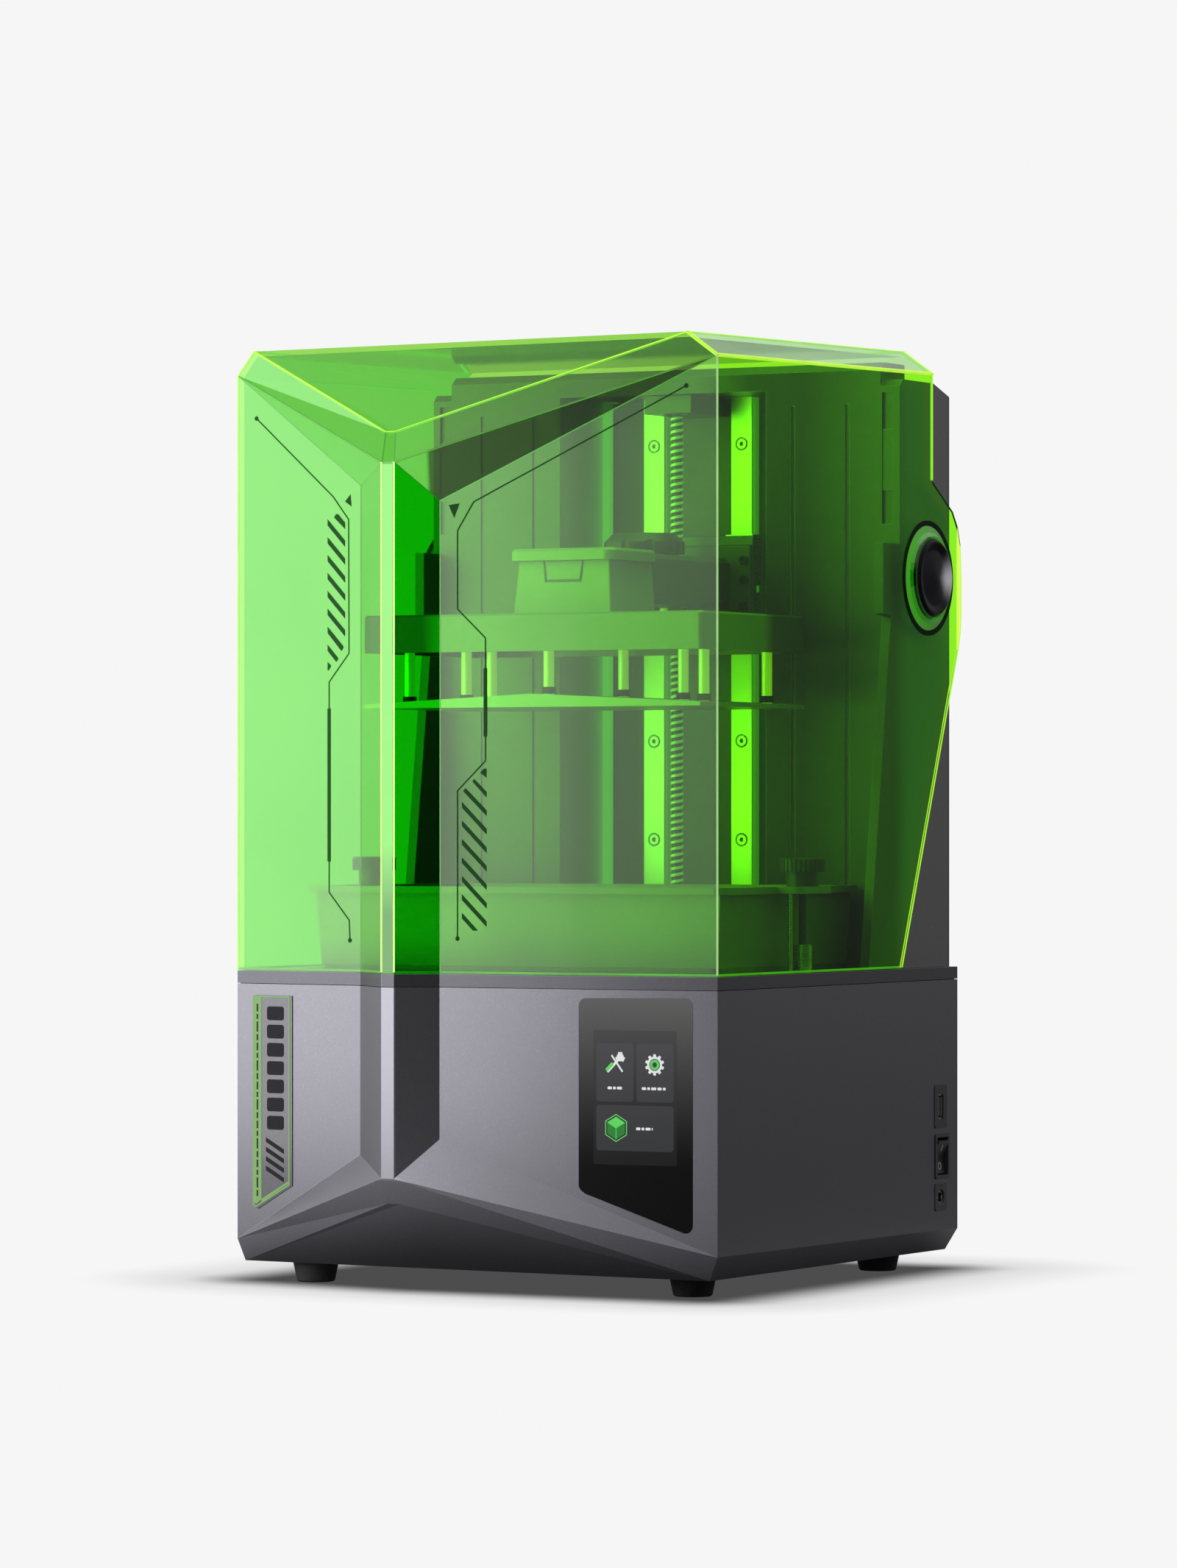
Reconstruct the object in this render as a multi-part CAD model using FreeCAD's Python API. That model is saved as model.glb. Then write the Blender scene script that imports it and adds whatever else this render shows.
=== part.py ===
import FreeCAD, Part
import os, math
from FreeCAD import Vector as V

# Mid-size vat-polymerisation (resin) printer with a flip-up translucent lid.
# Origin at the centre of the footprint on the floor, +X to the operator's right,
# +Y to the rear, +Z up. Millimetres.

os.makedirs("parts", exist_ok=True)

# ---------------------------------------------------------------- driving dimensions
SIDES = (-1, 1)           # left, right
HALF_W = 163.7            # half width of base and lid
Y_BACK = 165.0            # rear of base
RIDGE_Y = -164.9          # crest of the ridge down the front
# plan outline (x, y), corners numbered 1 to 8 in the face lists
OUTLINE = [
    (-HALF_W, -125.2),    # 1 front left
    (-72.6, -138.8),      # 2 left foot of the ridge
    (-43.25, RIDGE_Y),    # 3 ridge crest, left
    (-35.05, RIDGE_Y),    # 4 ridge crest, right
    (-13.1, -150.7),      # 5 right foot of the ridge
    (HALF_W, -148.0),     # 6 front right
    (HALF_W, Y_BACK),     # 7 rear right
    (-HALF_W, Y_BACK),    # 8 rear left
]
Z_FLOOR = 11.8            # underside of the base
Z_SEAM = 173.6            # joint between base casing and deck
SEAM_GAP = 0.4
Z_DECK = 181.2            # top of deck
AXIS_Y = -2.0             # optical axis of light engine, vat and build plate, at x = 0
PIVOT = (123.7, 412.6)    # lid hinge axis, y and z
SCREW_Y, SCREW_R = 115.0, 4.0      # lead screw
VAT_KNOB_X = 143.5
LOCATOR_Y = AXIS_Y - 16.0          # locating pins of the vat

# ---------------------------------------------------------------- shape helpers


def box(x0, x1, y0, y1, z0, z1):
    return Part.makeBox(x1 - x0, y1 - y0, z1 - z0, V(x0, y0, z0))


def axis_box(half_x, half_y, z0, z1):
    """Box centred on the optical axis."""
    return box(-half_x, half_x, AXIS_Y - half_y, AXIS_Y + half_y, z0, z1)


def span(side, near, far):
    """Ordered x range between two distances from the centre, on one side."""
    return sorted((side * near, side * far))


def cyl(r, z0, z1, x=0.0, y=0.0):
    return Part.makeCylinder(r, z1 - z0, V(x, y, z0), V(0, 0, 1))


def cylx(r, x0, x1, y, z):
    return Part.makeCylinder(r, x1 - x0, V(x0, y, z), V(1, 0, 0))


def cyly(r, y0, y1, x, z):
    return Part.makeCylinder(r, y1 - y0, V(x, y0, z), V(0, 1, 0))


def hinge_cyl(r, side, near, far):
    return cylx(r, *span(side, near, far), *PIVOT)


def hinge_cone(r0, r1, length, side, near):
    """Cone on the hinge axis that runs outwards from x = side * near."""
    return Part.makeCone(r0, r1, length, V(side * near, *PIVOT), V(side, 0, 0))


def ring(outer_r, inner_r, z0, z1, x=0.0, y=0.0):
    return cyl(outer_r, z0, z1, x, y).cut(cyl(inner_r, z0 - 1, z1 + 1, x, y))


def polygon_face(points):
    return Part.Face(Part.makePolygon(points + [points[0]]))


def prism(points, z0, z1):
    """points are (x, y)."""
    return polygon_face([V(x, y, z0) for x, y in points]).extrude(V(0, 0, z1 - z0))


def prism_x(points, x0, x1):
    """points are (y, z)."""
    return polygon_face([V(x0, y, z) for y, z in points]).extrude(V(x1 - x0, 0, 0))


def prism_y(points, y0, y1):
    """points are (x, z)."""
    return polygon_face([V(x, y0, z) for x, z in points]).extrude(V(0, y1 - y0, 0))


def hexagon(r, y0, y1, x, z):
    angles = [math.radians(60 * k) for k in range(6)]
    return prism_y([(x + r * math.cos(a), z + r * math.sin(a)) for a in angles], y0, y1)


def rect_loft(*stations):
    """stations are (x0, x1, y0, y1, z)."""
    wires = []
    for x0, x1, y0, y1, z in stations:
        loop = [(x0, y0), (x1, y0), (x1, y1), (x0, y1), (x0, y0)]
        wires.append(Part.makePolygon([V(x, y, z) for x, y in loop]))
    return Part.makeLoft(wires, True, True)


def axis_loft(*stations):
    """Loft of rectangles centred on the optical axis: (half x, half y, z)."""
    return rect_loft(*[(-a, a, AXIS_Y - b, AXIS_Y + b, z) for a, b, z in stations])


def fuse(first, *others):
    return first.multiFuse(list(others)).removeSplitter()


def rounded(shape, r, axis="z"):
    """Round the straight edges that run along one axis."""
    edges = []
    for e in shape.Edges:
        if len(e.Vertexes) != 2:
            continue
        along = e.Vertexes[1].Point.sub(e.Vertexes[0].Point)
        if along.Length < 1e-6:
            continue
        if abs(getattr(along, axis)) / along.Length > 0.999:
            edges.append(e)
    return shape.makeFillet(r, edges)


def bevel(shape, size, pick):
    edges = [e for e in shape.Edges if pick(e)]
    return shape.makeChamfer(size, edges) if edges else shape


def at_z(z):
    """Edge selector: edges that lie in the plane at height z."""
    return lambda e: (all(abs(p.Z - z) < 1e-3 for p in e.Vertexes)
                      and abs(e.BoundBox.ZMax - z) < 2e-3)


def ending_at_y(y):
    """Edge selector: edges whose rearmost point is at y."""
    return lambda e: abs(e.BoundBox.YMax - y) < 1e-3


def corners(level, plan, heights):
    """Numbered corners of one level, such as t1 to t8."""
    return {"%s%d" % (level, i + 1): (*plan[i], heights[i]) for i in range(8)}


def face_list(text):
    return [face.split() for face in text.split(",")]


def faceted_solid(points, faces):
    shell = Part.Shell([polygon_face([V(*points[k]) for k in face]) for face in faces])
    solid = Part.Solid(shell)
    if solid.Volume < 0:
        solid.reverse()
    return solid


def compound(shapes):
    return Part.makeCompound([solid for s in shapes for solid in s.Solids])


def save(name, shape):
    solids = shape.Solids
    piece = Part.makeCompound(solids) if len(solids) > 1 else solids[0]
    piece.exportStep("parts/%s.step" % name)


# ---------------------------------------------------------------- base casing
# levels: t top rim, b lower edge of the walls, c underside
BASE_POINTS = {
    **corners("t", OUTLINE, [Z_SEAM] * 8),
    **corners("b", OUTLINE, [24.7, 76.4, 64.7, 64.7, 87.1, 25.4, 24.6, 24.6]),
    "c1": (-160.2, -121.9, Z_FLOOR),
    "c3": (-44.0, -157.0, 50.0),
    "c4": (-35.6, -157.0, 50.0),
    "c6": (157.0, -144.7, Z_FLOOR),
    "c7": (157.0, 161.6, Z_FLOOR),
    "c8": (-157.0, 161.6, Z_FLOOR),
}
BASE_FACES = face_list("""t1 t2 t3 t4 t5 t6 t7 t8,
    t1 b1 b2 t2, t2 b2 b3 t3, t3 b3 b4 t4, t4 b4 b5 t5,
    t5 b5 b6 t6, t6 b6 b7 t7, t7 b7 b8 t8, t8 b8 b1 t1,
    b1 b3 b2, b4 b6 b5,
    b1 c1 c3, b1 c3 b3, b3 c3 c4, b3 c4 b4,
    b4 c4 c6, b4 c6 b6, b6 c6 c7, b6 c7 b7,
    b7 c7 c8, b7 c8 b8, b8 c8 c1, b8 c1 b1,
    c1 c4 c3, c1 c6 c4, c1 c8 c7 c6""")
CAVITY_MID_Z = 92.0       # floor of the upper cavity, which follows the outline
UPPER_CAVITY = [(-160.7, -122.4), (-70.0, -136.0), (-14.5, -147.6),
                (160.7, -144.9), (160.7, 162.0), (-160.7, 162.0)]
# x0, x1, y0, y1, z0, z1
LOWER_CAVITIES = [
    (-153.0, 153.0, -112.0, 157.0, 14.5, 93.0),             # down to the floor
    (-160.2, 160.2, -112.0, 161.8, 30.0, 93.0),             # wider, above it
    (-157.0, 157.0, -119.0, -111.0, 22.0, 93.0),            # front
    (4.0, 156.0, -137.0, -118.0, 46.0, 93.0),               # front, right of the ridge
    (-100.0, -20.0, -127.0, -118.0, 56.0, 93.0),            # front, left
    (-146.0, 146.0, -100.0, 150.0, Z_FLOOR - 1, 15.0),      # opening for the pan
]

# connectors on the right side: y, z of the centre, half sizes in y and z
USB = (141.3, 98.2, 8.4, 12.8)
SWITCH = (143.4, 68.6, 9.8, 13.4)
DC = (141.3, 44.2, 8.0, 8.0)
PORT_GAP = 0.05
PORT_PROUD = 0.35         # bezels stand this far out of the casing
PAN_SCREWS = [(x, y) for x in (-138.0, 138.0) for y in (-60.0, 20.0, 110.0)]
PAN_T = 2.0

# touchscreen outline (x, z) on the right front face, with a cut lower left corner
SCREEN = [(76.5, 168.6), (148.2, 169.4), (148.2, 36.5), (80.5, 58.9), (76.5, 61.7)]


def around(centre, x0, x1, half_y, half_z):
    """Box that runs along x, centred on the y and z of a connector."""
    y, z = centre[:2]
    return box(x0, x1, y - half_y, y + half_y, z - half_z, z + half_z)


def on_front(shape, left, right):
    """Move a shape from the plane y = 0 onto the upright face over two plan corners."""
    angle = math.atan2(right[1] - left[1], right[0] - left[0])
    shape = shape.copy()
    shape.rotate(V(0, 0, 0), V(0, 0, 1), math.degrees(angle))
    shape.translate(V(0, left[1] - left[0] * math.tan(angle), 0))
    return shape


def on_right_front(shape):
    return on_front(shape, OUTLINE[4], OUTLINE[5])


def screen_prism(grow, y0, y1):
    mid_x = sum(x for x, z in SCREEN) / len(SCREEN)
    mid_z = sum(z for x, z in SCREEN) / len(SCREEN)
    points = [(x + math.copysign(grow, x - mid_x), z + math.copysign(grow, z - mid_z))
              for x, z in SCREEN]
    return rounded(prism_y(points, y0, y1), 4.5, "y")


def base_shell():
    shell = faceted_solid(BASE_POINTS, BASE_FACES)
    shell = shell.cut(prism(UPPER_CAVITY, CAVITY_MID_Z, Z_SEAM + 1))
    for cavity in LOWER_CAVITIES:
        shell = shell.cut(box(*cavity))
    # touchscreen pocket and the window behind it
    shell = shell.cut(on_right_front(screen_prism(0.1, -2.0, 1.2)))
    shell = shell.cut(on_right_front(box(84.0, 140.4, -2.0, 8.0, 72.0, 154.0)))
    for port in (USB, SWITCH, DC):
        shell = shell.cut(around(port, 150.0, 170.0, port[2] + PORT_GAP, port[3] + PORT_GAP))
    # rear vent slots, then left side vent slots
    for i in range(9):
        x = -96.0 + i * 9.0
        slot = box(x - 2.0, x + 2.0, 160.0, 170.0, 100.0, 156.0)
        shell = shell.cut(rounded(slot, 1.9, "y"))
    for i in range(10):
        z = 60.0 + i * 8.0
        shell = shell.cut(box(-170.0, -150.0, 20.0, 90.0, z, z + 3.0))
    # bosses on the side walls for the floor pan screws
    boss_top = Z_FLOOR + 10.0
    for x, y in PAN_SCREWS:
        side = 1 if x > 0 else -1
        boss = box(*span(side, abs(x) - 5, 146.5), y - 5, y + 5, Z_FLOOR + PAN_T + 0.05, boss_top)
        boss = boss.fuse(box(*span(side, 146.0, 154.0), y - 5, y + 5, 14.5, boss_top))
        shell = shell.fuse(boss).cut(cyl(1.3, 10.0, 25.0, x, y))
    # stand-off posts for the main board
    for y in (-54.0, 44.0):
        for z in (36.0, 88.0):
            shell = shell.fuse(cylx(3.0, -161.0, -147.0, y, z))
    return shell.removeSplitter()


def floor_pan():
    pan = rounded(box(-145.6, 145.6, -99.6, 149.6, Z_FLOOR, Z_FLOOR + PAN_T), 4.0)
    # intake slots
    for i in range(11):
        y = -42.0 + i * 8.0
        pan = pan.cut(box(-34.0, 34.0, y - 1.8, y + 1.8, 10.0, 15.0))
    for x, y in PAN_SCREWS:
        pan = pan.cut(cyl(1.7, 10.0, 15.0, x, y))
    return pan


# screws through the tower back cover (x, z)
REAR_SCREWS = [(x, z) for x in (-150.0, 150.0) for z in (192.0, 300.0, 408.0, 512.0)]
REAR_SCREWS += [(x, z) for x in (-64.0, 64.0) for z in (192.0, 512.0)]
COVER_Y1 = 164.5          # rear of the tower back cover


def casing_screws():
    """Cross-slotted screws of the floor pan and the tower back cover."""
    shank_r, head_r, head_h = 1.25, 3.0, 1.8
    cross = ((1.9, 0.3), (0.3, 1.9))      # half sizes of the two slots
    screws = []
    for x, y in PAN_SCREWS:
        screw = fuse(cyl(shank_r, Z_FLOOR, Z_FLOOR + 9.0, x, y),
                     cyl(head_r, Z_FLOOR - head_h, Z_FLOOR, x, y))
        for a, b in cross:
            screw = screw.cut(box(x - a, x + a, y - b, y + b, 9.0, Z_FLOOR - 0.8))
        screws.append(screw)
    for x, z in REAR_SCREWS:
        screw = fuse(cyly(shank_r, COVER_Y1 - 8.0, COVER_Y1, x, z),
                     cyly(head_r, COVER_Y1, COVER_Y1 + head_h, x, z))
        for a, b in cross:
            screw = screw.cut(box(x - a, x + a, COVER_Y1 + 1.0, 168.0, z - b, z + b))
        screws.append(screw)
    return compound(screws)


def rubber_feet():
    """Feet that widen upwards; the front left one stands further in."""
    feet = []
    for x, y in [(126.5, -106.5), (-121.5, -106.5), (126.5, 132.0), (-126.5, 132.0)]:
        foot = Part.makeCone(11.0, 13.5, Z_FLOOR, V(x, y, 0), V(0, 0, 1))
        feet.append(bevel(foot, 0.8, lambda e: abs(e.BoundBox.ZMax) < 1e-3))
    return compound(feet)


# ---------------------------------------------------------------- deck and mask screen
MASK_HX, MASK_HY = 122.0, 74.0     # half sizes of the mask screen
MASK_CORNER_R = 4.0
GLASS_Z = Z_DECK - 0.5             # joint between mask and its cover glass


def deck_plate():
    deck = prism(OUTLINE, Z_SEAM + SEAM_GAP, Z_DECK)
    deck = deck.cut(axis_box(114.0, 64.0 + 2.0, 170.0, 190.0))
    recess = axis_box(MASK_HX + 0.2, MASK_HY + 0.2, Z_DECK - 2.0, 190.0)
    deck = deck.cut(rounded(recess, MASK_CORNER_R))
    deck = deck.cut(cyl(13.0, 170.0, 190.0, 0, SCREW_Y))
    for side in SIDES:
        deck = deck.cut(cyl(2.3, 170, 190, side * VAT_KNOB_X, AXIS_Y))
        deck = deck.cut(box(side * 100 - 12, side * 100 + 12, 118.0, 146.0, 170, 190))
    return deck


def seam_gasket():
    """Recessed shadow seam between casing and deck."""
    scale = 0.991
    seam = prism([(x * scale, y * scale) for x, y in OUTLINE], Z_SEAM, Z_SEAM + SEAM_GAP)
    return seam.cut(box(-150, 150, -130, 150, 170, 180))


def mask_lcd():
    return rounded(axis_box(MASK_HX, MASK_HY, Z_DECK - 1.9, GLASS_Z), MASK_CORNER_R)


def screen_glass():
    return rounded(axis_box(MASK_HX - 0.2, MASK_HY - 0.2, GLASS_Z, Z_DECK), MASK_CORNER_R)


# ---------------------------------------------------------------- light engine
LENS_Z = 94.0             # top of the lens sheet
HOUSING_Z = 84.0          # bottom of the housing, top of the LED board
SINK_Z = 76.0             # joint between heatsink plate and fins
LED_PITCH_X, LED_PITCH_Y = 32, 34
LED_PLACES = [(-80 + i * LED_PITCH_X, AXIS_Y - 34 + j * LED_PITCH_Y)
              for i in range(6) for j in range(3)]


def light_housing():
    outer = axis_loft((100, 58, HOUSING_Z), (118, 70, Z_SEAM + 0.3))
    inner = axis_loft((98, 56, HOUSING_Z - 0.1), (116, 68, Z_SEAM + 0.4))
    return outer.cut(inner)


def collimating_lens():
    """Sheet with one dome above each LED."""
    domes = []
    for x, y in LED_PLACES:
        ball = Part.makeSphere(26.0, V(x, y, LENS_Z - 20.0))
        domes.append(ball.common(cyl(15.0, LENS_Z - 0.5, LENS_Z + 7.0, x, y)))
    return fuse(axis_box(99.5, 57.0, LENS_Z - 2.0, LENS_Z), *domes)


def led_array():
    board = axis_box(101, 59, HOUSING_Z - 2.0, HOUSING_Z)
    leds = [box(x - 3, x + 3, y - 3, y + 3, HOUSING_Z, HOUSING_Z + 2.5) for x, y in LED_PLACES]
    return compound([board] + leds)


def led_heatsink():
    half_x, half_y, fin_pitch, fin_t = 90, 50, 8.91, 1.8
    fins = []
    for i in range(21):
        x = -half_x + i * fin_pitch
        fins.append(box(x, x + fin_t, AXIS_Y - half_y, AXIS_Y + half_y, 54.0, SINK_Z))
    return fuse(axis_box(half_x, half_y, SINK_Z, HOUSING_Z - 2.0), *fins)


# ---------------------------------------------------------------- fans
FAN_HALF, FAN_DEPTH, FAN_HUB_R = 30.0, 15.0, 11.0
LED_FAN = (0.0, AXIS_Y, 39.0)
REAR_FAN = (-60.0, 147.0, 128.0)


def fan_frame():
    reach = FAN_HALF - 1.0
    frame = rounded(box(-FAN_HALF, FAN_HALF, -FAN_HALF, FAN_HALF, 0, FAN_DEPTH), FAN_HALF * 0.12)
    frame = frame.cut(cyl(FAN_HALF - 1.5, -1, FAN_DEPTH + 1))
    frame = fuse(frame,
                 cyl(FAN_HUB_R + 1.0, 0, 2.0),
                 box(-1.5, 1.5, -reach, reach, 0, 2.0),
                 box(-reach, reach, -1.5, 1.5, 0, 2.0),
                 cyl(1.5, 0, FAN_DEPTH - 3))
    hole = FAN_HALF - 4.0
    for side_x in SIDES:
        for side_y in SIDES:
            frame = frame.cut(cyl(1.8, -1, FAN_DEPTH + 1, side_x * hole, side_y * hole))
    return frame


def fan_rotor():
    z0, z1 = 2.6, FAN_DEPTH - 1.0
    tip_r = FAN_HALF - 3.0
    blades = 7
    rotor = cyl(FAN_HUB_R, z0, z1).cut(cyl(1.56, 0, FAN_DEPTH - 2.6))
    for k in range(blades):
        blade = box(FAN_HUB_R - 1.0, tip_r, -0.6, 0.6, 3.2, FAN_DEPTH - 1.6)
        blade.rotate(V(0, 0, FAN_DEPTH / 2), V(1, 0, 0), 24)
        blade = blade.common(cyl(tip_r, z0, z1))
        blade.rotate(V(0, 0, 0), V(0, 0, 1), k * 360.0 / blades)
        rotor = rotor.fuse(blade)
    return rotor.removeSplitter()


def placed(shape, place, tilt=0):
    """Turn a shape about the x axis, then move it."""
    shape.rotate(V(0, 0, 0), V(1, 0, 0), tilt)
    shape.translate(V(*place))
    return shape


def led_fan_frame():
    return placed(fan_frame(), LED_FAN)


def led_fan_rotor():
    return placed(fan_rotor(), LED_FAN)


def rear_fan_frame():
    return placed(fan_frame(), REAR_FAN, -90)


def rear_fan_rotor():
    return placed(fan_rotor(), REAR_FAN, -90)


# ---------------------------------------------------------------- electronics
def main_board():
    """Board standing along the left wall, components on its inner face."""
    face = -145.4
    return compound([
        box(-147.0, face, -60.0, 50.0, 30.0, 120.0),
        box(face, -142.4, -20, -6, 60, 74),
        box(face, -142.4, 4, 18, 60, 74),
        box(face, -135.4, -50, 30, 104.0, 114.0),
        box(face, -130.0, -50, -38, 40, 66),
        cylx(5.0, face, -128, 38, 50),
        cylx(5.0, face, -128, 38, 64),
    ])


def touchscreen_glass():
    return on_right_front(screen_prism(0.0, -0.3, 1.1))


def touchscreen_module():
    return on_right_front(box(84.4, 140.0, 1.15, 6.0, 72.4, 153.6))


def side_badge():
    """Thin plate on the left front face."""
    outline = [(-152.0, 167.0), (-123.8, 167.0), (-123.8, 56.8), (-149.5, 42.6), (-152.0, 44.0)]
    return on_front(prism_y(outline, -0.55, 0.0), OUTLINE[0], OUTLINE[1])


def usb_port():
    port = around(USB, 144.0, HALF_W - 0.4, 3.3, 7.3)
    port = port.cut(around(USB, 146.0, 170.0, 2.6, 6.5))
    y, z = USB[:2]
    tongue = box(145.5, HALF_W - 1.5, y - 0.2, y + 1.9, z - 5.6, z + 5.6)
    return port.fuse(tongue).removeSplitter()


ROCKER_X = 158.6          # rocker axis, which runs along y


def switch_housing():
    y, z, half_y, half_z = SWITCH
    housing = rounded(around(SWITCH, 146.0, HALF_W + 0.6, half_y, half_z), 1.5, "x")
    housing = housing.cut(around(SWITCH, 149.0, 170.0, 7.4, 11.2))
    return housing.cut(cyly(1.06, y - 9.0, y + 9.0, ROCKER_X, z))


def power_rocker():
    y, z = SWITCH[:2]
    # x, z about the rocker axis
    outline = [(-6.2, -7.6), (-1.0, -9.8), (3.4, -10.0), (5.2, -9.8), (3.0, 0.0),
               (5.2, 9.8), (3.4, 10.0), (-1.0, 9.8), (-6.2, 7.6)]
    rocker = prism_y(outline, -6.9, 6.9)
    rocker.translate(V(ROCKER_X, y, z))
    rocker = rocker.fuse(cyly(1.0, y - 8.6, y + 8.6, ROCKER_X, z)).removeSplitter()
    rocker.rotate(V(ROCKER_X, y, z), V(0, 1, 0), 8.0)
    return rocker


def port_bezels():
    usb, dc = [rounded(around(port, 157.0, HALF_W + PORT_PROUD, *port[2:]), 2.0, "x")
               for port in (USB, DC)]
    usb = usb.cut(around(USB, 150.0, 170.0, 3.4, 7.4))
    dc = dc.cut(cylx(4.6, 150.0, 170.0, *DC[:2]))
    return compound([usb, dc])


def dc_jack():
    centre = DC[:2]
    jack = cylx(4.5, 146.0, HALF_W - 0.6, *centre).cut(cylx(2.9, 149.0, 170.0, *centre))
    return jack.fuse(cylx(1.0, 148.0, HALF_W - 2.0, *centre)).removeSplitter()


# ---------------------------------------------------------------- tower
TOWER_X = 158.7
TOWER_Y0, TOWER_Y1 = 95.9, 162.4
TOWER_Z = 529.5
SLOPE_Z = TOWER_Z - 6.3            # the top slopes down to this height at the rear
CHANNEL_X = 70.0                   # half width of the channel in the tower
BACKPLATE_Y0, BACKPLATE_Y1 = 152.0, 156.0
TOWER_WALL = 3.0
CAP_X, CAP_Z = 146.0, 540.0        # raised cap on top of the tower
GUSSET_T = 6.0
GUSSET_FOOT = 54.5                 # front of the gusset's foot, y
GUSSET_TOP = (84.0, 389.0)         # top front corner of the gusset, y and z
STOP_Y, STOP_Z = 73.5, 432.0       # stop block before the hinge: front face and top
RAIL_Y0 = 142.0
GROOVE_XS = (88.0, 124.0)
SLOT_X, SLOT_HALF = 150.5, 3.4
# stepped slot near the outer edge of each cheek: depth, z0, z1
SLOT_STEPS = [(0.7, 444.0, 522.0), (1.9, 500.0, 522.0), (1.9, 444.0, 464.0)]


def tower_shell():
    front = TOWER_Y0 - 1
    tower = prism_x([(TOWER_Y0, Z_DECK), (TOWER_Y1, Z_DECK), (TOWER_Y1, SLOPE_Z),
                     (RAIL_Y0, TOWER_Z), (TOWER_Y0 + 4.0, TOWER_Z), (TOWER_Y0, TOWER_Z - 4.0)],
                    -TOWER_X, TOWER_X)
    tower = tower.cut(box(-CHANNEL_X, CHANNEL_X, front, BACKPLATE_Y1 + 0.1,
                          Z_DECK - 1, TOWER_Z - 4.0))
    # hollow cheeks, open at the bottom and rear
    hollow = [(TOWER_Y0 + TOWER_WALL, Z_DECK - 1), (TOWER_Y1 + 1, Z_DECK - 1),
              (TOWER_Y1 + 1, TOWER_Z - 9.6), (RAIL_Y0 - 1, TOWER_Z - TOWER_WALL),
              (TOWER_Y0 + 5.5, TOWER_Z - TOWER_WALL), (TOWER_Y0 + TOWER_WALL, TOWER_Z - 5.5)]
    for side in SIDES:
        tower = tower.cut(prism_x(hollow, *span(side, CHANNEL_X + TOWER_WALL,
                                                TOWER_X - TOWER_WALL)))
    tower = tower.cut(box(-CHANNEL_X + 0.5, CHANNEL_X - 0.5, BACKPLATE_Y1, 164.0,
                          Z_DECK - 1, TOWER_Z - 9.6))
    joint_y = TOWER_Y0 + 0.5       # gusset and stop block run this far into the cheek
    gusset_z = GUSSET_TOP[1]
    gusset = [(joint_y, Z_DECK), (GUSSET_FOOT, Z_DECK), GUSSET_TOP, (joint_y, gusset_z)]
    stop = [(joint_y, gusset_z - 1), (STOP_Y, gusset_z + 1.4), (STOP_Y, STOP_Z),
            (joint_y, STOP_Z)]
    for side in SIDES:
        # vertical relief grooves on the front of the cheek
        for groove_x in GROOVE_XS:
            x = side * groove_x
            tower = tower.cut(box(x - 1.2, x + 1.2, front, TOWER_Y0 + 1.0,
                                  Z_DECK + 14, TOWER_Z - 14))
        tower = tower.cut(hinge_cyl(14.05, side, 150.0, 170.0))
        x = side * SLOT_X
        for depth, z0, z1 in SLOT_STEPS:
            tower = tower.cut(box(x - SLOT_HALF, x + SLOT_HALF, front, TOWER_Y0 + depth, z0, z1))
        thickness = span(side, TOWER_X - GUSSET_T, TOWER_X)
        tower = tower.fuse([prism_x(gusset, *thickness), prism_x(stop, *thickness)])
    # raised cap under the lid roof
    cap = [(TOWER_Y0, TOWER_Z - 4.5), (TOWER_Y0, CAP_Z - 4.5), (TOWER_Y0 + 5.1, CAP_Z),
           (129.0, CAP_Z), (129.0, TOWER_Z - 0.5)]
    tower = tower.fuse(prism_x(cap, -CAP_X, CAP_X))
    for side in SIDES:
        tower = tower.cut(box(*span(side, CHANNEL_X + TOWER_WALL, CAP_X - TOWER_WALL),
                              TOWER_Y0 + 6.0, 126.0, 500.0, CAP_Z - TOWER_WALL))
    # cover screw holes; the outer ones have a boss on the side wall
    for x, z in REAR_SCREWS:
        side = 1 if x > 0 else -1
        if abs(x) > 100:
            tower = tower.fuse(box(*span(side, abs(x) - 6, TOWER_X - 2), 155.0, TOWER_Y1,
                                   z - 6, z + 6))
        tower = tower.cut(cyly(1.27, 150.0, 170.0, x, z))
    return tower.removeSplitter()


def tower_back_cover():
    y0 = TOWER_Y1 + 0.05
    cover = prism_x([(y0, Z_DECK), (COVER_Y1, Z_DECK), (COVER_Y1, TOWER_Z - 6.9), (y0, SLOPE_Z)],
                    -TOWER_X, TOWER_X)
    for i in range(12):
        z = 214.0 + i * 9.0
        cover = cover.cut(box(-40.0, 40.0, 155.0, 170.0, z, z + 3.2))
    for x, z in REAR_SCREWS:
        cover = cover.cut(cyly(1.6, 150.0, 170.0, x, z))
    return cover


def z_backplate():
    return box(-60.0, 60.0, BACKPLATE_Y0, BACKPLATE_Y1, Z_DECK, TOWER_Z - 4.2)


# ---------------------------------------------------------------- linear rails
RAIL_X, RAIL_W = 30.0, 14.0
RAIL_Z0, RAIL_Z1 = 186.0, 525.5
RAIL_SCREW_Z, RAIL_SCREW_PITCH = RAIL_Z0 + 11.0, 60.0
RAIL_SCREW_COUNT = int((RAIL_Z1 - 8 - RAIL_SCREW_Z) // RAIL_SCREW_PITCH) + 1
RAIL_SCREW_ZS = [RAIL_SCREW_Z + i * RAIL_SCREW_PITCH for i in range(RAIL_SCREW_COUNT)]
SCREW_SEAT_Y = RAIL_Y0 + 5.0


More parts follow.
